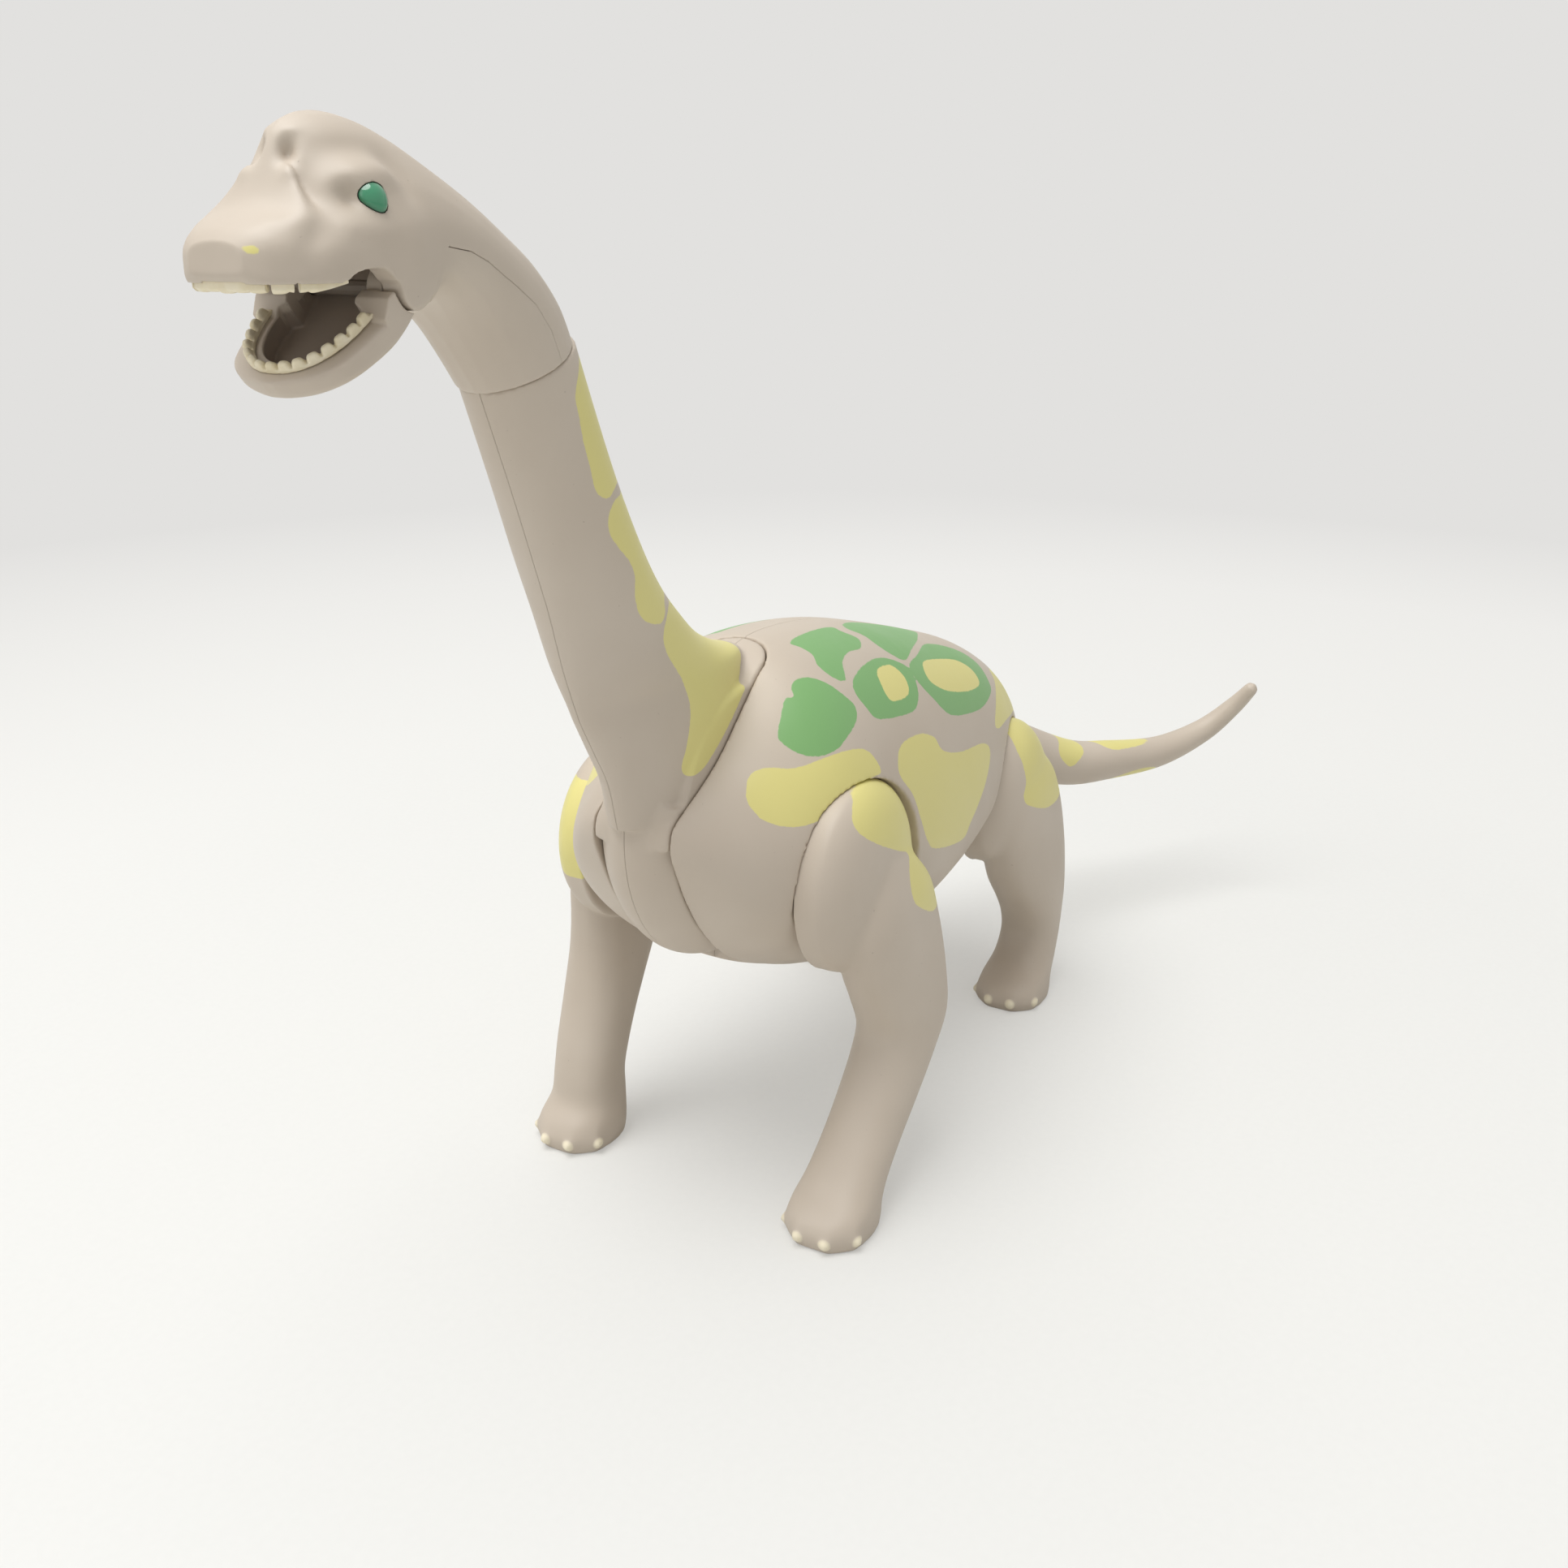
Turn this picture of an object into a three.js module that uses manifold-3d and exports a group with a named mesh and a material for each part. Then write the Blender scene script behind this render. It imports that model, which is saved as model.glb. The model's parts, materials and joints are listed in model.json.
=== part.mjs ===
// A posable toy dinosaur: a long-necked plant eater that stands on four legs.
// The torso is two hollow half shells. The neck is two half shells that end in a disc,
// and the disc turns between the torso shells, so the neck can be lowered.
// The head turns on a plug in the neck, the jaw opens, and the legs and tail turn on pins.
// Lengths are millimetres. +X is forward, +Y is the animal's left side and +Z is up.

import * as THREE from 'three';
import { mergeVertices } from 'three/addons/utils/BufferGeometryUtils.js';
import Module from 'manifold-3d';

const wasm = await Module();
wasm.setup();

// Clearances and walls
const pieceGap = 0.3;
const partingGap = 0.3;
const shellWall = 2.5;
const neckWall = 2.2;
const cutOverrun = 400;

// Torso: chest face, lowest belly line, and the greatest length, height and half width
const chestX = 33;
const bellyZ = 57;
const torsoLength = 230;
const torsoHeight = 110;
const torsoHalfWidth = 48;
const torsoRoundnessShare = 2.15;
const torsoWidestShare = 0.42;
// Each row: distance back from the chest, back line, belly line, half width
const torsoShares = [
  [0.000, 0.650, 0.580, 0.120],
  [0.013, 0.682, 0.540, 0.340],
  [0.039, 0.709, 0.427, 0.510],
  [0.074, 0.741, 0.318, 0.650],
  [0.122, 0.800, 0.218, 0.790],
  [0.178, 0.900, 0.145, 0.890],
  [0.222, 0.972, 0.100, 0.945],
  [0.274, 1.000, 0.055, 0.980],
  [0.361, 0.995, 0.014, 1.000],
  [0.474, 0.959, 0.000, 1.000],
  [0.596, 0.893, 0.027, 0.960],
  [0.709, 0.824, 0.082, 0.893],
  [0.813, 0.752, 0.120, 0.790],
  [0.904, 0.655, 0.150, 0.645],
  [0.970, 0.520, 0.172, 0.460],
  [1.000, 0.415, 0.173, 0.300],
];
const torsoStationCount = 19;
const torsoRingCount = 28;
const hollowStationCount = 7;
const hollowRingCount = 12;
const hollowStopShare = 0.12;

// Neck joint: a disc on an axle, with a chest bib that slides between the shells
const neckPivotX = -12;
const neckPivotZ = 123;
const neckDiscHalfWidth = 12;
const neckDiscRadius = 36;
const discSlotGap = 1.5;
const bibSideRadius = 40;
const bibKeelRadius = 46.5;
const bibSlotGap = 0.6;
const bibUpperDegrees = 16;
const bibLowerDegrees = -112;
const bibArcCount = 6;
// Section of the bib's keel: share of its radius and share of the half width
const keelShares = [[0.93, 0.7], [0.985, 0.35], [1, 0], [0.985, -0.35], [0.93, -0.7]];
const neckAxleRadius = 4;
const axleBossRadius = 8;
const axleBossLength = 5;
const noseCentreX = -17.5;
const noseHeight = 52;
const slotEndX = -10;
const neckSlotWall = 2.5;

// Neck: foot of the profile, its rise, its reach forward and its half width
const neckFootX = -16;
const neckFootZ = 129;
const neckRise = 138;
const neckReach = 106;
const neckHalfWidth = 14.2;
// Each row: height, front line, nape line, half width
const neckShares = [
  [0.000, 0.502, -0.040, 0.800],
  [0.100, 0.533, -0.050, 0.820],
  [0.180, 0.588, -0.056, 0.840],
  [0.240, 0.631, -0.056, 0.855],
  [0.277, 0.653, -0.050, 0.890],
  [0.300, 0.665, 0.045, 0.930],
  [0.325, 0.677, 0.125, 0.960],
  [0.355, 0.691, 0.195, 0.985],
  [0.400, 0.708, 0.267, 1.005],
  [0.470, 0.734, 0.363, 1.015],
  [0.560, 0.776, 0.448, 1.010],
  [0.703, 0.845, 0.546, 0.965],
  [0.899, 0.946, 0.653, 0.930],
  [1.000, 0.996, 0.703, 0.930],
];
const neckStationCount = 15;
const neckRingCount = 20;
const boreStationCount = 6;
const boreRingCount = 10;
const neckFloorRise = 7.5;

// Swivel between neck and head, square to the neck's line
const swivelX = 68.5;
const swivelZ = 250.5;
const neckLeanDegrees = 66.4;
const plugStemRadius = 6;
const plugFlangeRadius = 8.6;
const plugFlangeThickness = 2.4;
const plugFloor = 3;
const gulletRadius = 7.6;
const gulletDepth = 24;

// Head: length forward and height above the swivel's centre, and half width at the cheeks
const headLength = 82;
const headHeight = 50.5;
const headHalfWidth = 18.6;
const muzzleTipShare = 0.99;
// Each row: crown point along and up, underside point along and up, half width, section form
const headShares = [
  [-0.160, 0.113, 0.160, -0.113, 0.715, 0.00],
  [-0.098, 0.303, 0.230, 0.040, 0.740, 0.00],
  [0.006, 0.470, 0.294, 0.170, 0.755, 0.00],
  [0.128, 0.603, 0.350, 0.260, 0.775, 0.10],
  [0.256, 0.732, 0.412, 0.320, 0.810, 0.30],
  [0.384, 0.846, 0.475, 0.338, 0.870, 0.70],
  [0.494, 0.934, 0.546, 0.300, 0.950, 1.00],
  [0.591, 0.984, 0.630, 0.240, 1.000, 1.00],
  [0.677, 0.995, 0.701, 0.257, 0.995, 1.05],
  [0.743, 0.974, 0.756, 0.307, 0.970, 1.40],
  [0.790, 0.920, 0.805, 0.347, 0.930, 1.85],
  [0.824, 0.805, 0.848, 0.365, 0.890, 2.20],
  [0.862, 0.692, 0.887, 0.372, 0.820, 2.70],
  [0.917, 0.632, 0.928, 0.380, 0.710, 3.00],
  [0.962, 0.598, 0.966, 0.400, 0.560, 3.00],
  [0.990, 0.555, 0.991, 0.440, 0.360, 3.00],
];
const headStationCount = 21;
const headRingCount = 24;
// Half width of a section, from its underside to its crown: nape, brow, crest and muzzle forms
const sectionShares = [
  [0.00, 0.00, 0.00, 0.00, 0.00],
  [0.02, 0.28, 0.88, 0.88, 0.80],
  [0.08, 0.54, 0.97, 0.97, 0.95],
  [0.20, 0.80, 1.00, 1.00, 1.00],
  [0.32, 0.93, 0.99, 1.00, 1.00],
  [0.42, 0.99, 0.95, 0.93, 1.00],
  [0.50, 1.00, 0.89, 0.72, 1.00],
  [0.58, 0.99, 0.81, 0.48, 0.99],
  [0.68, 0.93, 0.70, 0.33, 0.96],
  [0.80, 0.80, 0.56, 0.26, 0.87],
  [0.90, 0.60, 0.40, 0.20, 0.70],
  [0.97, 0.34, 0.22, 0.11, 0.42],
  [1.00, 0.00, 0.00, 0.00, 0.00],
];
// Swellings and dents of the head's sides: place along and up, reach along and up, height
const swellingShares = [
  [0.760, 0.735, 0.075, 0.100, 0.060],
  [0.785, 0.700, 0.030, 0.040, -0.050],
  [0.815, 0.862, 0.026, 0.060, -0.070],
  [0.616, 0.500, 0.080, 0.170, 0.065],
];
const sectionFormCount = 4;
const swellingFadeWidth = 4;
// Side view of the seam between skull and throat, along and up
const throatSeamShares = [
  [0.533, -0.386], [0.533, 0.515], [0.482, 0.525], [0.372, 0.505], [0.287, 0.446], [0.189, 0.356],
  [0.104, 0.248], [0.037, 0.109], [-0.006, -0.050], [-0.104, -0.386], [0.140, -0.584],
];
const lipZ = 271.3;
const muzzleTipX = swivelX + muzzleTipShare * headLength;
const mouthCornerReach = 13.7;
const mouthArchReach = 20.7;
const mouthCornerX = muzzleTipX - mouthCornerReach;
const mouthArchX = muzzleTipX - mouthArchReach;
const mouthArchDrop = 2;
const mouthArchRadius = 5;
const mouthBackX = 111;
const mouthRoofZ = 280;
const palateZ = 275.5;
const muzzleWall = 3.8;
const lobeRadius = 5;
const lobeInnerY = 13.2;
const archFromDegrees = 24;
const archToDegrees = 150;
const halfTurnDegrees = 180;

// Jaw hinge and lower jaw, drawn shut and then swung open about the hinge
const jawHingeX = 118;
const jawHingeZ = 269.6;
const jawOpenDegrees = 27;
const jawReach = 29.5;
const jawHalfWidth = 17.6;
const jawDepth = 9.2;
const jawRimDrop = 0.5;
const jawWall = 3.9;
const jawCornerWall = 8.6;
const jawFloor = 2.2;
const jawBackReach = 12;
const jawNotchRadius = 5.5;
const jawLugRadius = 4.6;
const jawLugThickness = 4;
const jawPinRadius = 1.5;
const jawPinHalfLength = 16.6;
const jawPlanRoundnessShare = 2.4;
const jawSideRoundnessShare = 3;
const jawKeelRoundnessShare = 2.6;
// Each row: reach forward of the hinge, depth, half width
const jawShares = [
  [-0.105, 0.42, 0.94],
  [-0.045, 0.58, 0.98],
  [0.121, 0.70, 1.00],
  [0.364, 0.86, 0.965],
  [0.606, 0.98, 0.875],
  [0.788, 0.97, 0.70],
  [0.909, 0.80, 0.47],
  [0.979, 0.50, 0.24],
  [1.000, 0.30, 0.08],
];
const jawStationCount = 10;
const jawRingCount = 16;

// Teeth
const muzzleReach = 23.7;
const muzzleRootX = muzzleTipX - muzzleReach;
const muzzleHalfWidth = 17.4;
const muzzleRoundnessShare = 3;
const planCount = 14;
const upperToothDrop = 1.7;
const upperToothDepth = 2.6;
const upperToothInset = 0.9;
const upperNotchCount = 9;
const upperNotchWidth = 0.5;
const upperNotchSpreadDegrees = 136;
const upperNotchRise = 1.2;
const lowerToothCount = 14;
const lowerToothWidth = 2.1;
const lowerToothHeight = 2.5;
const lowerToothThickness = 1.9;
const lowerToothSpreadDegrees = 128;
const gumHeight = 0.9;
const gumInset = 1;
const gumWidth = 2.2;
const gumBackReach = 9;

// Eyes, as places on the left side
const eyeX = 126.1;
const eyeY = 13.2;
const eyeZ = 285.7;
const eyeLength = 7.2;
const eyeHeight = 5.3;
const eyeBulge = 3.4;
const eyeTiltDegrees = -58;
const eyeGap = 0.15;

// Front legs
const shoulderX = -22;
const shoulderZ = 103;
const shoulderRadius = 28.5;
const shoulderInnerY = 36;
const frontLegOuterY = 52.6;
const frontLegY = 47.6;
// Hind legs
const hipX = -153;
const hipZ = 86;
const hipRadius = 26.5;
const hipInnerY = 27.8;
const hindLegOuterY = 48;
const hindLegY = 39.6;
// Above the belt a limb stays outside the torso, apart from its hub
const beltZ = 68;
const frontOverhangY = 48.4;
const hindOverhangY = 31;
const legHeight = 100;
const legHalfLength = 26;
const legHalfWidth = 13;
const legRoundnessShare = 2.4;
// Each row: height, place forward of the hub, half length, half width
const frontLegShares = [
  [0.000, 0.900, 0.540, 0.950],
  [0.040, 0.910, 0.570, 1.000],
  [0.085, 0.850, 0.550, 0.980],
  [0.140, 0.580, 0.480, 0.910],
  [0.220, 0.200, 0.500, 0.880],
  [0.310, -0.200, 0.550, 0.890],
  [0.410, -0.580, 0.600, 0.910],
  [0.500, -0.800, 0.690, 0.930],
  [0.620, -0.680, 0.800, 0.920],
  [0.740, -0.500, 0.900, 0.880],
  [0.860, -0.350, 0.920, 0.800],
  [0.970, -0.300, 0.770, 0.700],
  [1.080, -0.200, 0.450, 0.420],
];
// The right front leg stands straighter
const straightLegShares = [
  [0.000, 0.720, 0.520, 0.950],
  [0.040, 0.730, 0.550, 1.000],
  [0.085, 0.680, 0.520, 0.970],
  [0.140, 0.570, 0.430, 0.880],
  [0.220, 0.530, 0.400, 0.850],
  [0.310, 0.430, 0.420, 0.860],
  [0.410, 0.280, 0.460, 0.870],
  [0.500, 0.130, 0.520, 0.880],
  [0.620, -0.080, 0.640, 0.860],
  [0.740, -0.220, 0.780, 0.790],
  [0.860, -0.250, 0.860, 0.640],
  [0.970, -0.230, 0.770, 0.450],
  [1.080, -0.150, 0.450, 0.260],
];
const hindLegShares = [
  [0.000, -0.360, 0.550, 0.950],
  [0.040, -0.350, 0.580, 0.990],
  [0.085, -0.440, 0.550, 0.950],
  [0.140, -0.740, 0.440, 0.860],
  [0.220, -0.920, 0.400, 0.830],
  [0.300, -0.930, 0.470, 0.850],
  [0.400, -0.830, 0.680, 0.880],
  [0.520, -0.620, 0.900, 0.900],
  [0.640, -0.450, 0.990, 0.880],
  [0.780, -0.280, 0.980, 0.820],
  [0.900, -0.160, 0.860, 0.680],
  [1.000, -0.120, 0.450, 0.400],
];
const legStationCount = 12;
const legRingCount = 14;
// Crown of a hub: share of its radius and share of its height
const hubShares = [
  [0, 0], [0.97, 0], [1, 0.05], [1, 0.36], [0.95, 0.53], [0.84, 0.70], [0.66, 0.85], [0.38, 0.96], [0, 1],
];
const clawLength = 3.4;
const clawRadius = 2;
const clawDegrees = [-58, -19, 19, 58];
const clawHeight = 3.6;
const clawReachShare = 0.93;
const legPinRadius = 4;
const legPinHeadRadius = 6.5;
const legPinHeadThickness = 2.4;
const legPinGrip = 12;
const pinHoleReach = 6.5;

// Tail: a tapered curve that leaves the rump along -X
const tailRootRadius = 12.8;
const tailTipRadius = 2.6;
const tailTaperShare = 0.9;
const tailRootZ = 89;
const tailLength = 118;
const tailSweep = 86;
const tailDrop = 27;
// Each row: back, to the left, down from the root
const tailShares = [
  [0.000, 0.000, 0.000],
  [0.110, 0.012, 0.110],
  [0.230, 0.085, 0.430],
  [0.450, 0.275, 0.870],
  [0.600, 0.430, 0.950],
  [0.790, 0.610, 0.960],
  [0.940, 0.770, 0.720],
  [0.990, 0.900, 0.300],
  [0.980, 1.000, -0.120],
];
const tailStationCount = 15;
const tailRingCount = 14;
const tailPinRadius = 5;
const tailPinHeadRadius = 8.5;
const tailPinGrip = 13;
const rumpWall = 3;

const wideRoundCount = 32;
const hubRoundCount = 24;
const roundCount = 18;
const smallRoundCount = 10;
const clawCount = { around: 6, along: 4 };
const toothCount = { around: 5, along: 4 };
const eyeCount = { around: 10, along: 8 };

const radians = THREE.MathUtils.degToRad;

// A closed geometry becomes a solid that can be joined and cut
function solid(geometry) {
  const plain = geometry.clone();
  plain.deleteAttribute('normal');
  plain.deleteAttribute('uv');
  const merged = mergeVertices(plain);
  return new wasm.Manifold(new wasm.Mesh({
    numProp: 3,
    vertProperties: new Float32Array(merged.attributes.position.array),
    triVerts: new Uint32Array(merged.index.array),
  }));
}

// A solid becomes a geometry again
function geometryOf(body) {
  const mesh = body.getMesh();
  const geometry = new THREE.BufferGeometry();
  geometry.setAttribute('position', new THREE.BufferAttribute(new Float32Array(mesh.vertProperties), 3));
  geometry.setIndex(new THREE.BufferAttribute(new Uint32Array(mesh.triVerts), 1));
  geometry.computeVertexNormals();
  return geometry;
}

function joined(...bodies) {
  return bodies.reduce((sum, body) => sum.add(body));
}

function cut(body, ...tools) {
  return tools.reduce((rest, tool) => rest.subtract(tool), body);
}

// Rows of a table are read at any place between them along a smooth curve
function readRows(rows, share) {
  const place = share * (rows.length - 1);
  const i = Math.min(Math.floor(place), rows.length - 2);
  const t = place - i;
  const before = rows[Math.max(i - 1, 0)];
  const after = rows[Math.min(i + 2, rows.length - 1)];
  return rows[i].map((value, k) => {
    const next = rows[i + 1][k];
    const slopeIn = (next - before[k]) / 2;
    const slopeOut = (after[k] - value) / 2;
    const t2 = t * t;
    const t3 = t2 * t;
    return (2 * t3 - 3 * t2 + 1) * value + (t3 - 2 * t2 + t) * slopeIn
      + (3 * t2 - 2 * t3) * next + (t3 - t2) * slopeOut;
  });
}

function stations(rows, count) {
  return Array.from({ length: count }, (_, i) => readRows(rows, i / (count - 1)));
}

// Angles of the points of a ring, begun half a step round so that no point lies on the parting plane
function ringAngles(count) {
  return Array.from({ length: count }, (_, j) => 2 * Math.PI * (j + 0.5) / count);
}

// A skin over closed rings of equal count, with a fan of faces over each end
function loft(rings) {
  const count = rings[0].length;
  const points = rings.flat();
  const ends = [rings[0], rings[rings.length - 1]].map((ring) => ring
    .reduce((sum, p) => sum.clone().add(p), new THREE.Vector3()).divideScalar(count));
  const first = points.length;
  points.push(...ends);
  const index = [];
  for (let i = 0; i < rings.length - 1; i += 1) {
    for (let j = 0; j < count; j += 1) {
      const a = i * count + j;
      const b = i * count + (j + 1) % count;
      index.push(a, b, b + count, a, b + count, a + count);
    }
  }
  const last = (rings.length - 1) * count;
  for (let j = 0; j < count; j += 1) {
    const k = (j + 1) % count;
    index.push(first, k, j, first + 1, last + j, last + k);
  }
  const geometry = new THREE.BufferGeometry().setFromPoints(points);
  geometry.setIndex(index);
  return facingOut(geometry);
}

// Turns the faces over where the volume that they enclose comes out negative
function facingOut(geometry) {
  const position = geometry.attributes.position;
  const index = geometry.index.array;
  const [a, b, c] = [new THREE.Vector3(), new THREE.Vector3(), new THREE.Vector3()];
  let volume = 0;
  for (let i = 0; i < index.length; i += 3) {
    a.fromBufferAttribute(position, index[i]);
    b.fromBufferAttribute(position, index[i + 1]);
    c.fromBufferAttribute(position, index[i + 2]);
    volume += a.dot(b.cross(c));
  }
  return volume < 0 ? flipped(geometry) : geometry;
}

function flipped(geometry) {
  const index = geometry.index.array;
  for (let i = 0; i < index.length; i += 3) {
    [index[i + 1], index[i + 2]] = [index[i + 2], index[i + 1]];
  }
  return geometry;
}

// The other side's copy of a left piece
function mirrored(geometry) {
  return flipped(geometry.clone().scale(1, -1, 1));
}

// Solids of a left geometry and of its mirror image
function bothSides(geometry) {
  return [solid(geometry), solid(mirrored(geometry))];
}

// Cosine and sine drawn out towards a rounded square
function rounded(value, roundness) {
  return Math.sign(value) * Math.abs(value) ** (2 / roundness);
}

// A pin or disc about an axis along Y, between two Y values
function acrossPin(x, z, radius, fromY, toY, count = roundCount) {
  const geometry = new THREE.CylinderGeometry(radius, radius, toY - fromY, count);
  return geometry.translate(x, (fromY + toY) / 2, z);
}

// A pin along X, between two X values
function alongPin(z, radius, fromX, toX, count = roundCount) {
  return new THREE.CylinderGeometry(radius, radius, toX - fromX, count)
    .rotateZ(Math.PI / 2).translate((fromX + toX) / 2, 0, z);
}

// A post along Z, between two Z values
function uprightPost(x, radius, fromZ, toZ) {
  return new THREE.CylinderGeometry(radius, radius, toZ - fromZ, roundCount)
    .rotateX(Math.PI / 2).translate(x, 0, (fromZ + toZ) / 2);
}

// A prism across the body from an outline in X and Z
function acrossPrism(outline, fromY, toY) {
  const shape = new THREE.Shape(outline.map(([x, z]) => new THREE.Vector2(x, z)));
  const geometry = new THREE.ExtrudeGeometry(shape, { depth: toY - fromY, bevelEnabled: false });
  return geometry.rotateX(Math.PI / 2).translate(0, toY, 0);
}

// A prism upwards from an outline in X and Y
function uprightPrism(points, fromZ, toZ) {
  const settings = { depth: toZ - fromZ, bevelEnabled: false };
  return new THREE.ExtrudeGeometry(new THREE.Shape(points), settings).translate(0, 0, fromZ);
}

function box(lowX, lowY, lowZ, highX, highY, highZ) {
  const geometry = new THREE.BoxGeometry(highX - lowX, highY - lowY, highZ - lowZ);
  return geometry.translate((lowX + highX) / 2, (lowY + highY) / 2, (lowZ + highZ) / 2);
}

// Points on an arc about a centre in X and Z
function arcPoints(x, z, radius, fromDegrees, toDegrees, count) {
  return Array.from({ length: count + 1 }, (_, i) => {
    const angle = radians(fromDegrees + (toDegrees - fromDegrees) * i / count);
    return [x + radius * Math.cos(angle), z + radius * Math.sin(angle)];
  });
}

// A body on the parting plane is parted into its left and right shells
function halves(body) {
  const space = box(-cutOverrun, partingGap / 2, -cutOverrun, cutOverrun, cutOverrun, cutOverrun);
  return bothSides(space).map((half) => geometryOf(body.intersect(half)));
}

// Torso surface, drawn in from its skin by a given amount
function torsoBody(inset, stationCount, ringCount) {
  const rings = stations(torsoShares, stationCount).map(([along, top, bottom, half]) => {
    const x = chestX - along * torsoLength + inset * (1 - 2 * along);
    const topZ = bellyZ + top * torsoHeight - inset;
    const bottomZ = bellyZ + bottom * torsoHeight + inset;
    const halfY = half * torsoHalfWidth - inset;
    const wideZ = bottomZ + torsoWidestShare * (topZ - bottomZ);
    return ringAngles(ringCount).map((angle) => {
      const lift = rounded(Math.cos(angle), torsoRoundnessShare);
      return new THREE.Vector3(
        x,
        halfY * rounded(Math.sin(angle), torsoRoundnessShare),
        wideZ + lift * (lift > 0 ? topZ - wideZ : wideZ - bottomZ),
      );
    });
  });
  return loft(rings);
}

// The hollow of the torso stops short of the chest and of the rump face
function torsoHollow() {
  const inner = solid(torsoBody(shellWall, hollowStationCount, hollowRingCount));
  const stopX = chestX - hollowStopShare * torsoLength;
  const wallX = chestX - torsoLength + rumpWall;
  return cut(
    inner,
    solid(box(stopX, -cutOverrun, -cutOverrun, cutOverrun, cutOverrun, cutOverrun)),
    solid(box(-cutOverrun, -cutOverrun, -cutOverrun, wallX, cutOverrun, cutOverrun)),
  );
}

const legSets = [
  {
    name: 'front', rows: [frontLegShares, straightLegShares], x: shoulderX, z: shoulderZ,
    radius: shoulderRadius, innerY: shoulderInnerY, outerY: frontLegOuterY, y: frontLegY,
    overhangY: frontOverhangY,
  },
  {
    name: 'hind', rows: [hindLegShares, hindLegShares], x: hipX, z: hipZ, radius: hipRadius,
    innerY: hipInnerY, outerY: hindLegOuterY, y: hindLegY, overhangY: hindOverhangY,
  },
];

// A limb on the left side
function limb(set, rows) {
  const rings = stations(rows, legStationCount).map(([up, forward, halfLength, halfWidth]) => (
    ringAngles(legRingCount).map((angle) => new THREE.Vector3(
      set.x + forward * legHalfLength
        + halfLength * legHalfLength * rounded(Math.cos(angle), legRoundnessShare),
      set.y + halfWidth * legHalfWidth * rounded(Math.sin(angle), legRoundnessShare),
      up * legHeight,
    ))));
  return loft(rings);
}

// The round top of a leg, crowned on its outer face
function hub(set) {
  const profile = hubShares.map(([out, up]) => new THREE.Vector2(
    out * set.radius,
    up * (set.outerY - set.innerY),
  ));
  return new THREE.LatheGeometry(profile, hubRoundCount).translate(set.x, set.innerY, set.z);
}

// Claws stand out low round the front of a foot
function claws(set, rows) {
  const [, forward, halfLength, halfWidth] = rows[1];
  return clawDegrees.map((degrees) => {
    const angle = radians(degrees);
    const claw = new THREE.SphereGeometry(clawRadius, clawCount.around, clawCount.along);
    return claw.scale(clawLength / clawRadius, 1, 1).rotateZ(angle).translate(
      set.x + (forward + halfLength * clawReachShare * Math.cos(angle)) * legHalfLength,
      set.y + halfWidth * clawReachShare * Math.sin(angle) * legHalfWidth,
      clawHeight,
    );
  });
}

function leg(set, rows) {
  const floor = solid(box(-cutOverrun, -cutOverrun, -cutOverrun, cutOverrun, cutOverrun, 0));
  const pocket = solid(acrossPin(set.x, set.z, set.radius, set.innerY, cutOverrun, wideRoundCount));
  const overhang = solid(box(-cutOverrun, -cutOverrun, beltZ, cutOverrun, set.overhangY, cutOverrun));
  const shape = joined(
    cut(solid(limb(set, rows)), cut(overhang, pocket)),
    solid(hub(set)),
    ...claws(set, rows).map(solid),
  );
  const bore = solid(acrossPin(set.x, set.z, legPinRadius + pieceGap, set.innerY - pieceGap,
    set.innerY + legPinGrip + pieceGap, smallRoundCount));
  return geometryOf(cut(shape, floor, bore));
}

// A headed pin that holds a leg against the wall of the torso
function legPin(set) {
  const headTop = set.innerY - pieceGap - shellWall - pieceGap;
  const headBase = headTop - legPinHeadThickness;
  const head = solid(acrossPin(set.x, set.z, legPinHeadRadius, headBase, headTop));
  const shank = solid(acrossPin(set.x, set.z, legPinRadius, (headBase + headTop) / 2,
    set.innerY + legPinGrip, smallRoundCount));
  return geometryOf(joined(head, shank));
}

// Pocket, pin hole and room for the pin's head of one pair of legs, cut from the torso
function legRecesses(set) {
  const floorY = set.innerY - pieceGap;
  const pocket = acrossPin(set.x, set.z, set.radius + pieceGap, floorY, cutOverrun, wideRoundCount);
  const hole = acrossPin(set.x, set.z, legPinRadius + pieceGap, floorY - pinHoleReach,
    floorY + pinHoleReach, smallRoundCount);
  const headRoom = acrossPin(set.x, set.z, legPinHeadRadius + pieceGap, floorY - pinHoleReach,
    floorY - shellWall);
  return [pocket, hole, headRoom].flatMap(bothSides);
}

// Walls left standing behind those pockets
function recessWalls(set) {
  const innerY = set.innerY - pieceGap - shellWall;
  return bothSides(acrossPin(set.x, set.z, set.radius + pieceGap + shellWall, innerY, cutOverrun));
}

// The round end of the slot and of the tongue that fills it
function tongueNose(radius) {
  return solid(uprightPost(noseCentreX, radius, neckPivotZ, neckPivotZ + noseHeight));
}

// The slot between the torso shells in which the neck's disc and bib turn
function neckSlot(grow) {
  const halfY = neckDiscHalfWidth + pieceGap + grow;
  const disc = solid(acrossPin(neckPivotX, neckPivotZ, neckDiscRadius + discSlotGap + grow, -halfY, halfY,
    wideRoundCount));
  const sweep = solid(acrossPin(neckPivotX, neckPivotZ, bibKeelRadius + bibSlotGap + grow, -halfY, halfY,
    wideRoundCount));
  const back = solid(box(-cutOverrun, -cutOverrun, neckPivotZ, noseCentreX, cutOverrun, cutOverrun));
  const ahead = solid(box(noseCentreX, -halfY, neckPivotZ, cutOverrun, halfY, cutOverrun));
  const under = solid(box(slotEndX, -halfY, 0, cutOverrun, halfY, neckPivotZ));
  return joined(disc, sweep.subtract(back), ahead, under, tongueNose(halfY));
}

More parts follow.
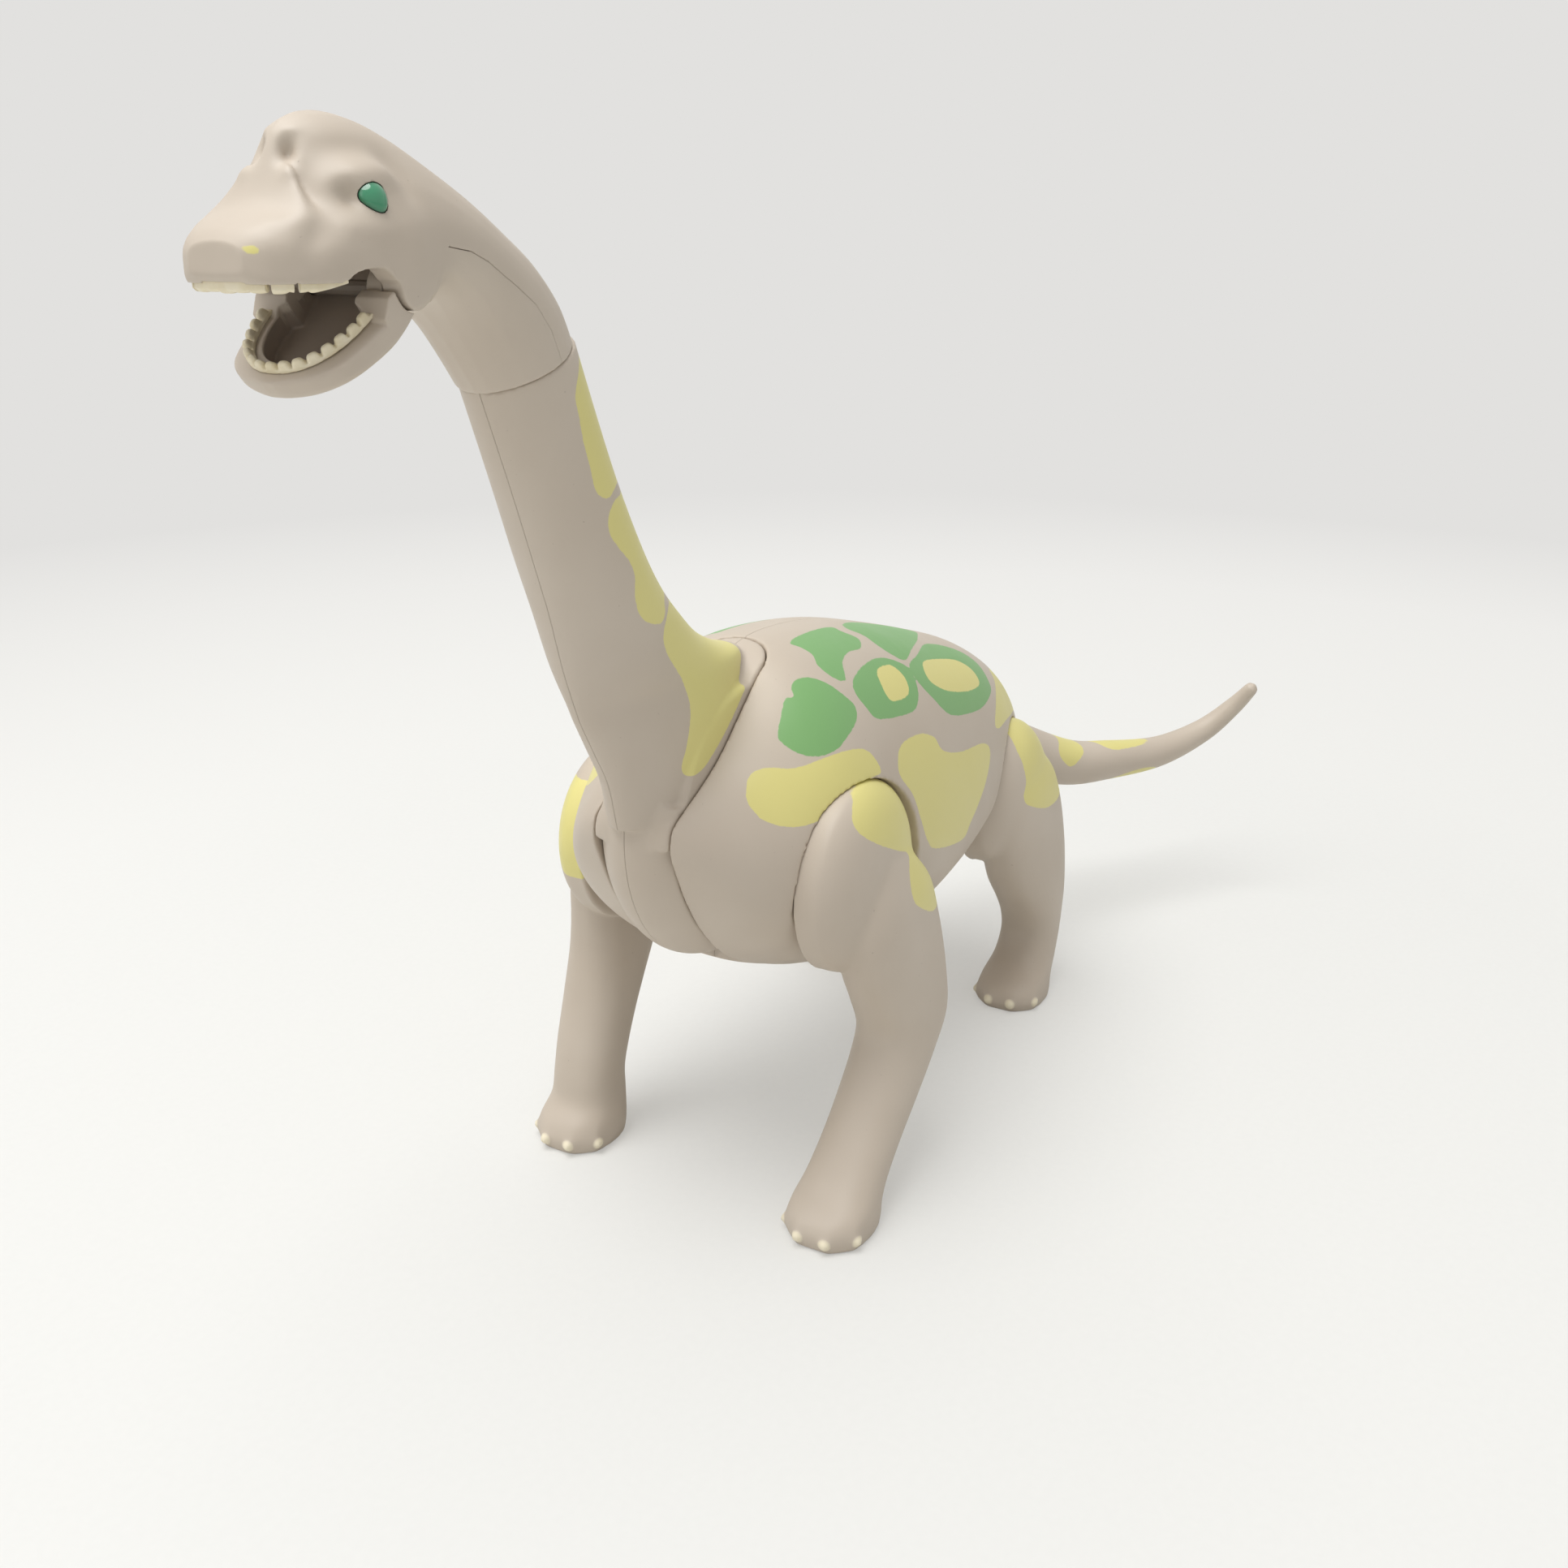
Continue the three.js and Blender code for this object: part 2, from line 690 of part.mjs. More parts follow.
function torsoShell() {
  const bossEnd = neckDiscHalfWidth + neckSlotWall + axleBossLength;
  const boss = solid(acrossPin(neckPivotX, neckPivotZ, axleBossRadius, -bossEnd, bossEnd));
  const axleEnd = bossEnd - shellWall;
  const axleHole = solid(acrossPin(neckPivotX, neckPivotZ, neckAxleRadius + pieceGap, -axleEnd, axleEnd,
    smallRoundCount));
  const hollow = cut(torsoHollow(), neckSlot(neckSlotWall), boss, ...legSets.flatMap(recessWalls));
  const rumpX = chestX - torsoLength;
  const tailHole = solid(alongPin(tailRootZ, tailPinRadius + pieceGap, rumpX - rumpWall,
    rumpX + 2 * rumpWall, smallRoundCount));
  const outer = solid(torsoBody(0, torsoStationCount, torsoRingCount));
  return cut(outer, hollow, neckSlot(0), axleHole, tailHole, ...legSets.flatMap(legRecesses));
}

// A tilted frame at the swivel: the neck's own line is its Z axis
const swivelFrame = new THREE.Matrix4()
  .makeRotationY(radians(90 - neckLeanDegrees))
  .setPosition(swivelX, 0, swivelZ);

// Space on the head's side of the swivel, or on the neck's side
function beyondSwivel(onHeadSide) {
  const low = onHeadSide ? -partingGap / 2 : -cutOverrun;
  const high = onHeadSide ? cutOverrun : partingGap / 2;
  return solid(box(-cutOverrun, -cutOverrun, low, cutOverrun, cutOverrun, high).applyMatrix4(swivelFrame));
}

function swivelRound(radius, fromZ, toZ, count = roundCount) {
  const geometry = new THREE.CylinderGeometry(radius, radius, toZ - fromZ, count);
  return solid(geometry.rotateX(Math.PI / 2).translate(0, 0, (fromZ + toZ) / 2).applyMatrix4(swivelFrame));
}

// Neck surface, drawn in from its skin by a given amount
function neckLoft(inset, stationCount, ringCount) {
  const rings = stations(neckShares, stationCount).map(([up, front, nape, half]) => {
    const frontX = neckFootX + front * neckReach - inset;
    const napeX = neckFootX + nape * neckReach + inset;
    const halfY = half * neckHalfWidth - inset;
    return ringAngles(ringCount).map((angle) => new THREE.Vector3(
      (frontX + napeX) / 2 + (frontX - napeX) / 2 * Math.cos(angle),
      halfY * Math.sin(angle),
      neckFootZ + up * neckRise,
    ));
  });
  return loft(rings);
}

// The chest bib is part of a ring with a rounded keel
function bib() {
  const side = neckDiscHalfWidth;
  const profile = [
    [0, side], [bibSideRadius, side],
    ...keelShares.map(([out, across]) => [out * bibKeelRadius, across * side]),
    [bibSideRadius, -side], [0, -side],
  ].map(([r, y]) => new THREE.Vector2(r, y)).reverse();
  const ring = solid(new THREE.LatheGeometry(profile, wideRoundCount).translate(neckPivotX, 0, neckPivotZ));
  const wedge = [
    [neckPivotX, neckPivotZ],
    ...arcPoints(neckPivotX, neckPivotZ, 2 * bibKeelRadius, bibLowerDegrees, bibUpperDegrees, bibArcCount),
  ];
  return ring.intersect(solid(acrossPrism(wedge, -2 * side, 2 * side)));
}

// The root of the neck fills the slot, flush with the torso, and ends in a round tongue
function neckRoot() {
  const skin = solid(torsoBody(0, torsoStationCount, torsoRingCount));
  const side = neckDiscHalfWidth;
  const slab = solid(box(noseCentreX, -side, neckPivotZ, cutOverrun, side, cutOverrun));
  return skin.intersect(joined(slab, tongueNose(side)));
}

function neckBody() {
  const side = neckDiscHalfWidth;
  const disc = solid(acrossPin(neckPivotX, neckPivotZ, neckDiscRadius, -side, side, wideRoundCount));
  const outer = joined(solid(neckLoft(0, neckStationCount, neckRingCount)), disc, bib(), neckRoot());
  const hollow = cut(
    solid(neckLoft(neckWall, boreStationCount, boreRingCount)),
    solid(box(-cutOverrun, -cutOverrun, -cutOverrun, cutOverrun, cutOverrun, neckFootZ + neckFloorRise)),
    swivelRound(cutOverrun, -plugFloor, cutOverrun),
  );
  const core = cut(
    solid(acrossPin(neckPivotX, neckPivotZ, neckDiscRadius - shellWall, shellWall - side, side - shellWall)),
    solid(acrossPin(neckPivotX, neckPivotZ, axleBossRadius, -side, side)),
  );
  const axleHole = solid(acrossPin(neckPivotX, neckPivotZ, neckAxleRadius + pieceGap, -2 * side, 2 * side,
    smallRoundCount));
  const plugBore = swivelRound(plugStemRadius + pieceGap, -2 * plugFloor, plugFloor, smallRoundCount);
  return cut(outer, beyondSwivel(true), hollow, core, axleHole, plugBore);
}

// The plug that the head turns on, with a flange inside the neck and one inside the head
function swivelPlug() {
  const start = plugFloor + pieceGap;
  const middle = start + plugFlangeThickness / 2;
  return geometryOf(joined(
    swivelRound(plugFlangeRadius, start, start + plugFlangeThickness),
    swivelRound(plugFlangeRadius, -start - plugFlangeThickness, -start),
    swivelRound(plugStemRadius, -middle, middle, smallRoundCount),
  ));
}

// Half width of a head section at a share of its height, between two of the section forms
function sectionWidth(form, share) {
  const i = Math.max(sectionShares.findIndex(([place]) => place >= share), 1);
  const [from, to] = [sectionShares[i - 1], sectionShares[i]];
  const between = (share - from[0]) / (to[0] - from[0]);
  const widths = from.map((width, k) => width + (to[k] - width) * between).slice(1);
  const low = Math.floor(form);
  return widths[low] + (widths[Math.ceil(form)] - widths[low]) * (form - low);
}

// A place in the head's side view, from its shares of the head's length and height
function headPlace(along, up) {
  return [swivelX + along * headLength, swivelZ + up * headHeight];
}

// How far the swellings and dents move the skin outwards at a point
function swelling(point) {
  const fade = Math.min(1, Math.abs(point.y) / swellingFadeWidth);
  return swellingShares.reduce((sum, [along, up, reachX, reachZ, height]) => {
    const [x, z] = headPlace(along, up);
    const away = ((point.x - x) / (reachX * headLength)) ** 2 + ((point.z - z) / (reachZ * headHeight)) ** 2;
    return sum + fade * height * headHalfWidth * Math.exp(-away);
  }, 0);
}

function headLoft() {
  const rows = stations(headShares, headStationCount);
  const rings = rows.map(([topAlong, topUp, lowAlong, lowUp, half, form]) => {
    const [topX, topZ] = headPlace(topAlong, topUp);
    const [lowX, lowZ] = headPlace(lowAlong, lowUp);
    return ringAngles(headRingCount).map((angle) => {
      const rise = (1 - Math.cos(angle)) / 2;
      const side = Math.sign(Math.sin(angle));
      const width = sectionWidth(Math.min(Math.max(form, 0), sectionFormCount - 1), rise);
      const point = new THREE.Vector3(lowX + rise * (topX - lowX), side * half * headHalfWidth * width,
        lowZ + rise * (topZ - lowZ));
      point.y += side * swelling(point);
      return point;
    });
  });
  return loft(rings);
}

// Side view of what is open below the skull: under the lip, round the mouth corner and the cheek lobe
function skullUnderside() {
  const backX = headPlace(...throatSeamShares[0])[0];
  return [
    [cutOverrun, 0], [cutOverrun, lipZ], [mouthCornerX, lipZ],
    ...arcPoints(mouthArchX, lipZ - mouthArchDrop, mouthArchRadius, archFromDegrees, archToDegrees,
      bibArcCount),
    ...arcPoints(jawHingeX, jawHingeZ, lobeRadius, 0, -halfTurnDegrees, smallRoundCount),
    [backX - jawBackReach, jawHingeZ], [backX - jawBackReach, 0],
  ];
}

// Plan of the muzzle or the jaw, drawn in by an inset
function snoutPlan(rootX, tipX, halfWidth, roundness, inset) {
  return Array.from({ length: planCount + 1 }, (_, i) => {
    const angle = Math.PI / 2 - Math.PI * i / planCount;
    return new THREE.Vector2(
      rootX + (tipX - rootX - inset) * rounded(Math.cos(angle), roundness),
      (halfWidth - inset) * rounded(Math.sin(angle), roundness),
    );
  });
}

function muzzlePlan(inset) {
  return snoutPlan(muzzleRootX, muzzleTipX, muzzleHalfWidth, muzzleRoundnessShare, inset);
}

function jawPlan(inset) {
  return snoutPlan(jawHingeX, jawHingeX + jawReach, jawHalfWidth, jawPlanRoundnessShare, inset);
}

function mouthHollow() {
  return joined(
    solid(box(mouthBackX, -lobeInnerY, 0, mouthCornerX, lobeInnerY, mouthRoofZ)),
    solid(uprightPrism(muzzlePlan(muzzleWall), 0, palateZ)),
  );
}

function eyeGeometry(grow) {
  const geometry = new THREE.SphereGeometry(1, eyeCount.around, eyeCount.along);
  geometry.scale(eyeLength / 2 + grow, eyeBulge + grow, eyeHeight / 2 + grow);
  return geometry.rotateY(radians(-eyeTiltDegrees)).translate(eyeX, eyeY, eyeZ);
}

function headParts() {
  const head = cut(solid(headLoft()), beyondSwivel(false));
  const flangeRoom = plugFloor + plugFlangeThickness + 2 * pieceGap;
  const inside = [
    swivelRound(plugStemRadius + pieceGap, -plugFloor, plugFloor + pieceGap, smallRoundCount),
    swivelRound(plugFlangeRadius + pieceGap, plugFloor, flangeRoom),
    swivelRound(gulletRadius, plugFloor, gulletDepth),
  ];
  const pinEnd = jawPinHalfLength + pieceGap;
  const bore = solid(acrossPin(jawHingeX, jawHingeZ, jawPinRadius + pieceGap, -pinEnd, pinEnd,
    smallRoundCount));
  const seam = throatSeamShares.map(([along, up]) => headPlace(along, up));
  const seamGap = [[pieceGap, 0], [-pieceGap, 0], [0, pieceGap]].map(([moveX, moveZ]) => solid(
    acrossPrism(seam.map(([x, z]) => [x + moveX, z + moveZ]), -cutOverrun, cutOverrun)));
  const throat = cut(head.intersect(solid(acrossPrism(seam, -cutOverrun, cutOverrun))), ...inside);
  const skull = cut(
    head,
    ...seamGap,
    solid(acrossPrism(skullUnderside(), -cutOverrun, cutOverrun)),
    mouthHollow(),
    bore,
    ...inside,
    ...bothSides(eyeGeometry(eyeGap)),
  );
  return { skull: geometryOf(skull), throat: geometryOf(throat) };
}

// A band that follows a plan, between two insets and two heights
function planBand(plan, outerInset, innerInset, lowZ, highZ, rootX) {
  const ahead = (point) => point.x > rootX + pieceGap;
  const outer = plan(outerInset).filter(ahead);
  const inner = plan(innerInset).filter(ahead).reverse();
  const outline = [
    new THREE.Vector2(rootX, outer[0].y), ...outer, new THREE.Vector2(rootX, outer[outer.length - 1].y),
    new THREE.Vector2(rootX, inner[0].y), ...inner, new THREE.Vector2(rootX, inner[inner.length - 1].y),
  ];
  return solid(uprightPrism(outline, lowZ, highZ));
}

// Directions spread evenly round the front of the mouth
function spread(count, spreadDegrees) {
  return Array.from({ length: count }, (_, i) => radians(((i + 0.5) / count - 0.5) * spreadDegrees));
}

// Where a direction from the middle of the mouth meets a plan
function planSpot(plan, centreX, angle) {
  const points = plan.map((p) => new THREE.Vector2(p.x - centreX, p.y));
  const turns = points.map((p) => p.angle() > Math.PI ? p.angle() - 2 * Math.PI : p.angle());
  const i = Math.max(turns.findIndex((turn) => turn <= angle), 1);
  const share = (turns[i - 1] - angle) / (turns[i - 1] - turns[i]);
  return points[i - 1].clone().lerp(points[i], share).add(new THREE.Vector2(centreX, 0));
}

// Upper teeth: one band below the lip, notched between the teeth
function upperTeeth() {
  const top = lipZ - pieceGap;
  const low = top - upperToothDrop;
  const inner = upperToothInset + upperToothDepth;
  const band = planBand(muzzlePlan, upperToothInset, inner, low, top, mouthCornerX);
  const notches = spread(upperNotchCount, upperNotchSpreadDegrees).map((angle) => {
    const spot = planSpot(muzzlePlan(upperToothInset), mouthCornerX, angle);
    const notch = new THREE.BoxGeometry(3 * upperToothDepth, upperNotchWidth, 2 * upperNotchRise);
    return solid(notch.rotateZ(angle).translate(spot.x, spot.y, low));
  });
  return geometryOf(cut(band, ...notches));
}

// Jaw surface, with its top raised above the rim and its keel drawn in by given amounts
function jawSkin(rimZ, raise, inset) {
  const rings = stations(jawShares, jawStationCount).map(([along, depth, half]) => (
    ringAngles(jawRingCount).map((angle) => new THREE.Vector3(
      jawHingeX + along * jawReach,
      half * jawHalfWidth * rounded(Math.cos(angle), jawSideRoundnessShare),
      rimZ + raise
        + (depth * jawDepth - inset + raise) / 2 * (rounded(Math.sin(angle), jawKeelRoundnessShare) - 1),
    ))));
  return solid(loft(rings));
}

// The lower jaw is a trough drawn shut, notched for the cheek lobes, with a lug beside each lobe
function lowerJaw(rimZ) {
  const cornerY = jawHalfWidth - jawCornerWall;
  const backX = jawHingeX - jawBackReach;
  const trough = solid(uprightPrism([
    new THREE.Vector2(backX, cornerY), new THREE.Vector2(jawHingeX, cornerY),
    ...jawPlan(jawWall).filter((p) => Math.abs(p.y) <= cornerY || p.x > jawHingeX + jawCornerWall),
    new THREE.Vector2(jawHingeX, -cornerY), new THREE.Vector2(backX, -cornerY),
  ], rimZ - jawDepth, rimZ + jawDepth)).intersect(jawSkin(rimZ, jawDepth, jawFloor));
  const lugY = lobeInnerY - pieceGap;
  const notch = acrossPin(jawHingeX, jawHingeZ, jawNotchRadius, lugY, cutOverrun);
  const lug = acrossPin(jawHingeX, jawHingeZ, jawLugRadius, lugY - jawLugThickness, lugY);
  const bore = solid(acrossPin(jawHingeX, jawHingeZ, jawPinRadius + pieceGap, -cutOverrun, cutOverrun,
    smallRoundCount));
  const skin = joined(cut(jawSkin(rimZ, 0, 0), trough), ...bothSides(lug));
  return geometryOf(cut(skin, bore, ...bothSides(notch)));
}

// Lower teeth: rounded blocks on a gum strip that lies on the jaw's rim
function lowerTeeth(rimZ) {
  const gumZ = rimZ + pieceGap;
  const rootX = jawHingeX + gumBackReach;
  const gum = planBand(jawPlan, gumInset, gumInset + gumWidth, gumZ, gumZ + gumHeight, rootX);
  const plan = jawPlan(gumInset + gumWidth / 2);
  const teeth = spread(lowerToothCount, lowerToothSpreadDegrees).map((angle) => {
    const spot = planSpot(plan, rootX, angle);
    const tooth = new THREE.SphereGeometry(1, toothCount.around, toothCount.along);
    tooth.scale(lowerToothThickness / 2, lowerToothWidth / 2, lowerToothHeight);
    return solid(tooth.rotateZ(angle).translate(spot.x, spot.y, gumZ + gumHeight / 2));
  });
  const below = solid(box(-cutOverrun, -cutOverrun, -cutOverrun, cutOverrun, cutOverrun, gumZ));
  return geometryOf(cut(joined(gum, ...teeth), below));
}

// The tail is a tapered tube on a curve, with a bore in its root for the pin
function tail() {
  const rootX = chestX - torsoLength - pieceGap;
  const curve = new THREE.CatmullRomCurve3(tailShares.map(([back, left, down]) => new THREE.Vector3(
    rootX - back * tailLength,
    left * tailSweep,
    tailRootZ - down * tailDrop,
  )));
  const rings = Array.from({ length: tailStationCount }, (_, i) => {
    const share = i / (tailStationCount - 1);
    const centre = curve.getPointAt(share);
    const along = i === 0 ? new THREE.Vector3(-1, 0, 0) : curve.getTangentAt(share);
    const side = new THREE.Vector3(0, 0, 1).cross(along).normalize();
    const up = along.clone().cross(side);
    const radius = tailTipRadius + (tailRootRadius - tailTipRadius) * (1 - share) ** tailTaperShare;
    return ringAngles(tailRingCount).map((angle) => centre.clone()
      .addScaledVector(side, radius * Math.cos(angle)).addScaledVector(up, radius * Math.sin(angle)));
  });
  const bore = alongPin(tailRootZ, tailPinRadius + pieceGap, rootX - tailPinGrip, rootX + tailPinGrip,
    smallRoundCount);
  return geometryOf(cut(solid(loft(rings)), solid(bore)));
}

function tailPin() {
  const headX = chestX - torsoLength + rumpWall + pieceGap;
  const shankX = chestX - torsoLength - tailPinGrip;
  return geometryOf(joined(
    solid(alongPin(tailRootZ, tailPinHeadRadius, headX, headX + legPinHeadThickness)),
    solid(alongPin(tailRootZ, tailPinRadius, shankX, headX + legPinHeadThickness / 2, smallRoundCount)),
  ));
}

// Materials
const finishes = {
  skin: { color: 0xb5a898, roughness: 0.5 },
  tooth: { color: 0xe2d9b8, roughness: 0.45 },
  eye: { color: 0x2c7a58, roughness: 0.12 },
  pin: { color: 0x8f8478, roughness: 0.55 },
};

const figure = new THREE.Group();

function addPiece(name, geometry, finish, group = figure) {
  const mesh = new THREE.Mesh(geometry, new THREE.MeshStandardMaterial(finishes[finish]));
  mesh.name = name;
  group.add(mesh);
}

for (const [name, body] of [['torso', torsoShell()], ['neck', neckBody()]]) {
  const [left, right] = halves(body);
  addPiece(`${name}_left_shell`, left, 'skin');
  addPiece(`${name}_right_shell`, right, 'skin');
}
const axleHalf = neckDiscHalfWidth + neckSlotWall + axleBossLength - shellWall - pieceGap;
addPiece('neck_pivot_axle', acrossPin(neckPivotX, neckPivotZ, neckAxleRadius, -axleHalf, axleHalf,
  smallRoundCount), 'pin');
addPiece('head_swivel_plug', swivelPlug(), 'pin');

const { skull, throat } = headParts();
addPiece('skull_shell', skull, 'skin');
addPiece('throat_shell', throat, 'skin');
addPiece('upper_teeth', upperTeeth(), 'tooth');
addPiece('left_eye', eyeGeometry(0), 'eye');
addPiece('right_eye', mirrored(eyeGeometry(0)), 'eye');
addPiece('jaw_hinge_pin', acrossPin(jawHingeX, jawHingeZ, jawPinRadius, -jawPinHalfLength, jawPinHalfLength,
  smallRoundCount), 'pin');

// The jaw and its teeth swing open together about the hinge
const jawGroup = new THREE.Group();
jawGroup.position.set(jawHingeX, 0, jawHingeZ);
jawGroup.rotation.y = radians(jawOpenDegrees);
figure.add(jawGroup);
const rimZ = jawHingeZ - jawRimDrop;
addPiece('lower_jaw', lowerJaw(rimZ).translate(-jawHingeX, 0, -jawHingeZ), 'skin', jawGroup);
addPiece('lower_teeth', lowerTeeth(rimZ).translate(-jawHingeX, 0, -jawHingeZ), 'tooth', jawGroup);

for (const set of legSets) {
  const [left, right] = set.rows.map((rows) => leg(set, rows));
  const pin = legPin(set);
  addPiece(`${set.name}_left_leg`, left, 'skin');
  addPiece(`${set.name}_right_leg`, mirrored(right), 'skin');
  addPiece(`${set.name}_left_leg_pin`, pin, 'pin');
  addPiece(`${set.name}_right_leg_pin`, mirrored(pin), 'pin');
}

addPiece('tail', tail(), 'skin');
addPiece('tail_pin', tailPin(), 'pin');

// The origin is the middle of the part's box, on the floor
figure.updateMatrixWorld(true);
const bounds = new THREE.Box3().setFromObject(figure);
figure.position.set(-(bounds.min.x + bounds.max.x) / 2, -(bounds.min.y + bounds.max.y) / 2, 0);

export default figure;
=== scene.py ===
import json
import math

import bpy
import numpy as np
from mathutils import Matrix, Vector
from mathutils.bvhtree import BVHTree


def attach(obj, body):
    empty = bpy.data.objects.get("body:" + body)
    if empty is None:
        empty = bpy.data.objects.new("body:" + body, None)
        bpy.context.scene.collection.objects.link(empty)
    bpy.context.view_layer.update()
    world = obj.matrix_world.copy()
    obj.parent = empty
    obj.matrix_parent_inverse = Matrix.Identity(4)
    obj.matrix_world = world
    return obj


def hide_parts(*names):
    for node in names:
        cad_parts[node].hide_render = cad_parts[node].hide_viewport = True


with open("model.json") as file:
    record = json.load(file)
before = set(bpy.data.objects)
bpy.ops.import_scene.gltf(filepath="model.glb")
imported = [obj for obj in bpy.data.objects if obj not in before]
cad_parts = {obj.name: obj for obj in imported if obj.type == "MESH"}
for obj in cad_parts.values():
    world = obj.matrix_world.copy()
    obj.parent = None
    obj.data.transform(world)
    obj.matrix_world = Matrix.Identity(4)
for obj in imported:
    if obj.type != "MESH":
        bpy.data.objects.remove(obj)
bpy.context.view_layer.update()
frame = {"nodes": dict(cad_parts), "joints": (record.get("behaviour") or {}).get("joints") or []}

bl_info = {
    "name": "Toy Dinosaur Looks",
    "version": (1, 0, 0),
    "blender": (4, 5, 0),
    "location": "View3D > Sidebar > Dinosaur",
    "description": "Moulded skin, teeth, eyes and printed markings for the posable toy dinosaur",
    "category": "Object",
}

# Pieces are drawn in millimetres, with +X forward, +Y to the animal's left and the floor at zero.
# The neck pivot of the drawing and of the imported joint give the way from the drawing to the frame.
NECK_PIVOT = np.array([-12.0, 0.0, 123.0])
JOINT_AT = {joint["name"]: np.array(joint["pos_m"]) for joint in frame["joints"]}
SHIFT = 1000 * JOINT_AT["neck_tilt"] - NECK_PIVOT
FAR = 400.0
GAP = 0.3
# Radii of the holes for the pins, and of the room for their heads
PIN_HEAD_ROOM, TAIL_PIN_ROOM = 7.0, 9.0
TAIL_PIN_HOLE, AXLE_HOLE, SWIVEL_HOLE, JAW_PIN_HOLE = 5.4, 4.4, 9.2, 1.8
# How deep the holes go: room for a leg pin's head, leg pin, and swivel into the neck and the head
PIN_HEAD_DEPTH, LEG_PIN_DEPTH, SWIVEL_IN_NECK, SWIVEL_IN_HEAD = 6.0, 12.5, 8.5, 7.5
# A hole starts outside its piece by this much
RUN_OUT = 5
# Most triangles that a piece keeps
TRIANGLES = dict(torso=300000, neck=180000, head=185000, jaw=90000, leg=90000, tail=80000)
COARSE = 1.0

# Torso: distance back from the chest, back line, belly line, half width, as shares
CHEST_X, BELLY_Z = 33.0, 57.0
TORSO_SIZE = (230.0, 110.0, 48.0)
TORSO_ROUNDNESS, TORSO_WIDEST = 2.15, 0.42
RUMP_X = CHEST_X - TORSO_SIZE[0]
TORSO = [
    (0.000, 0.650, 0.580, 0.120), (0.013, 0.682, 0.540, 0.340), (0.039, 0.709, 0.427, 0.510),
    (0.074, 0.741, 0.318, 0.650), (0.122, 0.800, 0.218, 0.790), (0.178, 0.900, 0.145, 0.890),
    (0.222, 0.972, 0.100, 0.945), (0.274, 1.000, 0.055, 0.980), (0.361, 0.995, 0.014, 1.000),
    (0.474, 0.959, 0.000, 1.000), (0.596, 0.893, 0.027, 0.960), (0.709, 0.824, 0.082, 0.893),
    (0.813, 0.752, 0.120, 0.790), (0.904, 0.655, 0.150, 0.645), (0.970, 0.520, 0.172, 0.460),
    (1.000, 0.415, 0.173, 0.300),
]
DISC_HALF, DISC_RADIUS, DISC_GAP = 12.0, 36.0, 1.5
BIB_SIDE_RADIUS, BIB_KEEL_RADIUS, BIB_GAP = 40.0, 46.5, 0.6
BIB_FROM, BIB_TO = -112.0, 16.0
NOSE_X, NOSE_HEIGHT, SLOT_END_X = -17.5, 52.0, -10.0

# Neck: height, front line, nape line, half width, as shares
NECK_FOOT = (-16.0, 129.0)
NECK_SIZE = (138.0, 106.0, 14.2)
NECK = [
    (0.000, 0.502, -0.040, 0.800), (0.100, 0.533, -0.050, 0.820), (0.180, 0.588, -0.056, 0.840),
    (0.240, 0.631, -0.056, 0.855), (0.277, 0.653, -0.050, 0.890), (0.300, 0.665, 0.045, 0.930),
    (0.325, 0.677, 0.125, 0.960), (0.355, 0.691, 0.195, 0.985), (0.400, 0.708, 0.267, 1.005),
    (0.470, 0.734, 0.363, 1.015), (0.560, 0.776, 0.448, 1.010), (0.703, 0.845, 0.546, 0.965),
    (0.899, 0.946, 0.653, 0.930), (1.000, 0.996, 0.703, 0.930),
]
SWIVEL = np.array([68.5, 0.0, 250.5])
NECK_LEAN, RING_SEAM_LIFT = 66.4, 1.8
# Heights between which the tongue at the nape melts into the neck: start, full, full, end; and passes
NAPE_MELT, NAPE_PASSES = (163, 171, 180, 200), 40

# Head: crown point along and up, underside point along and up, half width, section form
HEAD_SIZE = (82.0, 50.5, 18.6)
HEAD = [
    (-0.160, 0.113, 0.160, -0.113, 0.715, 0.00), (-0.098, 0.303, 0.230, 0.040, 0.740, 0.00),
    (0.006, 0.470, 0.294, 0.170, 0.755, 0.00), (0.128, 0.603, 0.350, 0.260, 0.775, 0.10),
    (0.256, 0.732, 0.412, 0.320, 0.810, 0.30), (0.384, 0.846, 0.475, 0.338, 0.870, 0.70),
    (0.494, 0.934, 0.546, 0.300, 0.950, 1.00), (0.591, 0.984, 0.630, 0.240, 1.000, 1.00),
    (0.677, 0.995, 0.701, 0.257, 0.995, 1.05), (0.743, 0.974, 0.756, 0.307, 0.970, 1.40),
    (0.790, 0.920, 0.805, 0.347, 0.930, 1.85), (0.824, 0.805, 0.848, 0.365, 0.890, 2.45),
    (0.862, 0.692, 0.887, 0.372, 0.820, 2.80), (0.917, 0.632, 0.928, 0.380, 0.710, 3.00),
    (0.962, 0.598, 0.966, 0.400, 0.560, 3.00), (0.990, 0.555, 0.991, 0.440, 0.360, 3.00),
]
# Half width of a head section from its underside to its crown: nape, brow, crest and muzzle forms
SECTIONS = [
    (0.00, 0.00, 0.00, 0.00, 0.00), (0.02, 0.28, 0.88, 0.88, 0.80), (0.08, 0.54, 0.97, 0.97, 0.95),
    (0.20, 0.80, 1.00, 1.00, 1.00), (0.32, 0.93, 0.99, 1.00, 1.00), (0.42, 0.99, 0.97, 0.93, 1.00),
    (0.50, 1.00, 0.94, 0.74, 1.00), (0.58, 0.99, 0.88, 0.52, 0.99), (0.68, 0.93, 0.78, 0.38, 0.96),
    (0.80, 0.80, 0.60, 0.28, 0.87), (0.90, 0.60, 0.42, 0.21, 0.70), (0.97, 0.34, 0.23, 0.12, 0.42),
    (1.00, 0.00, 0.00, 0.00, 0.00),
]
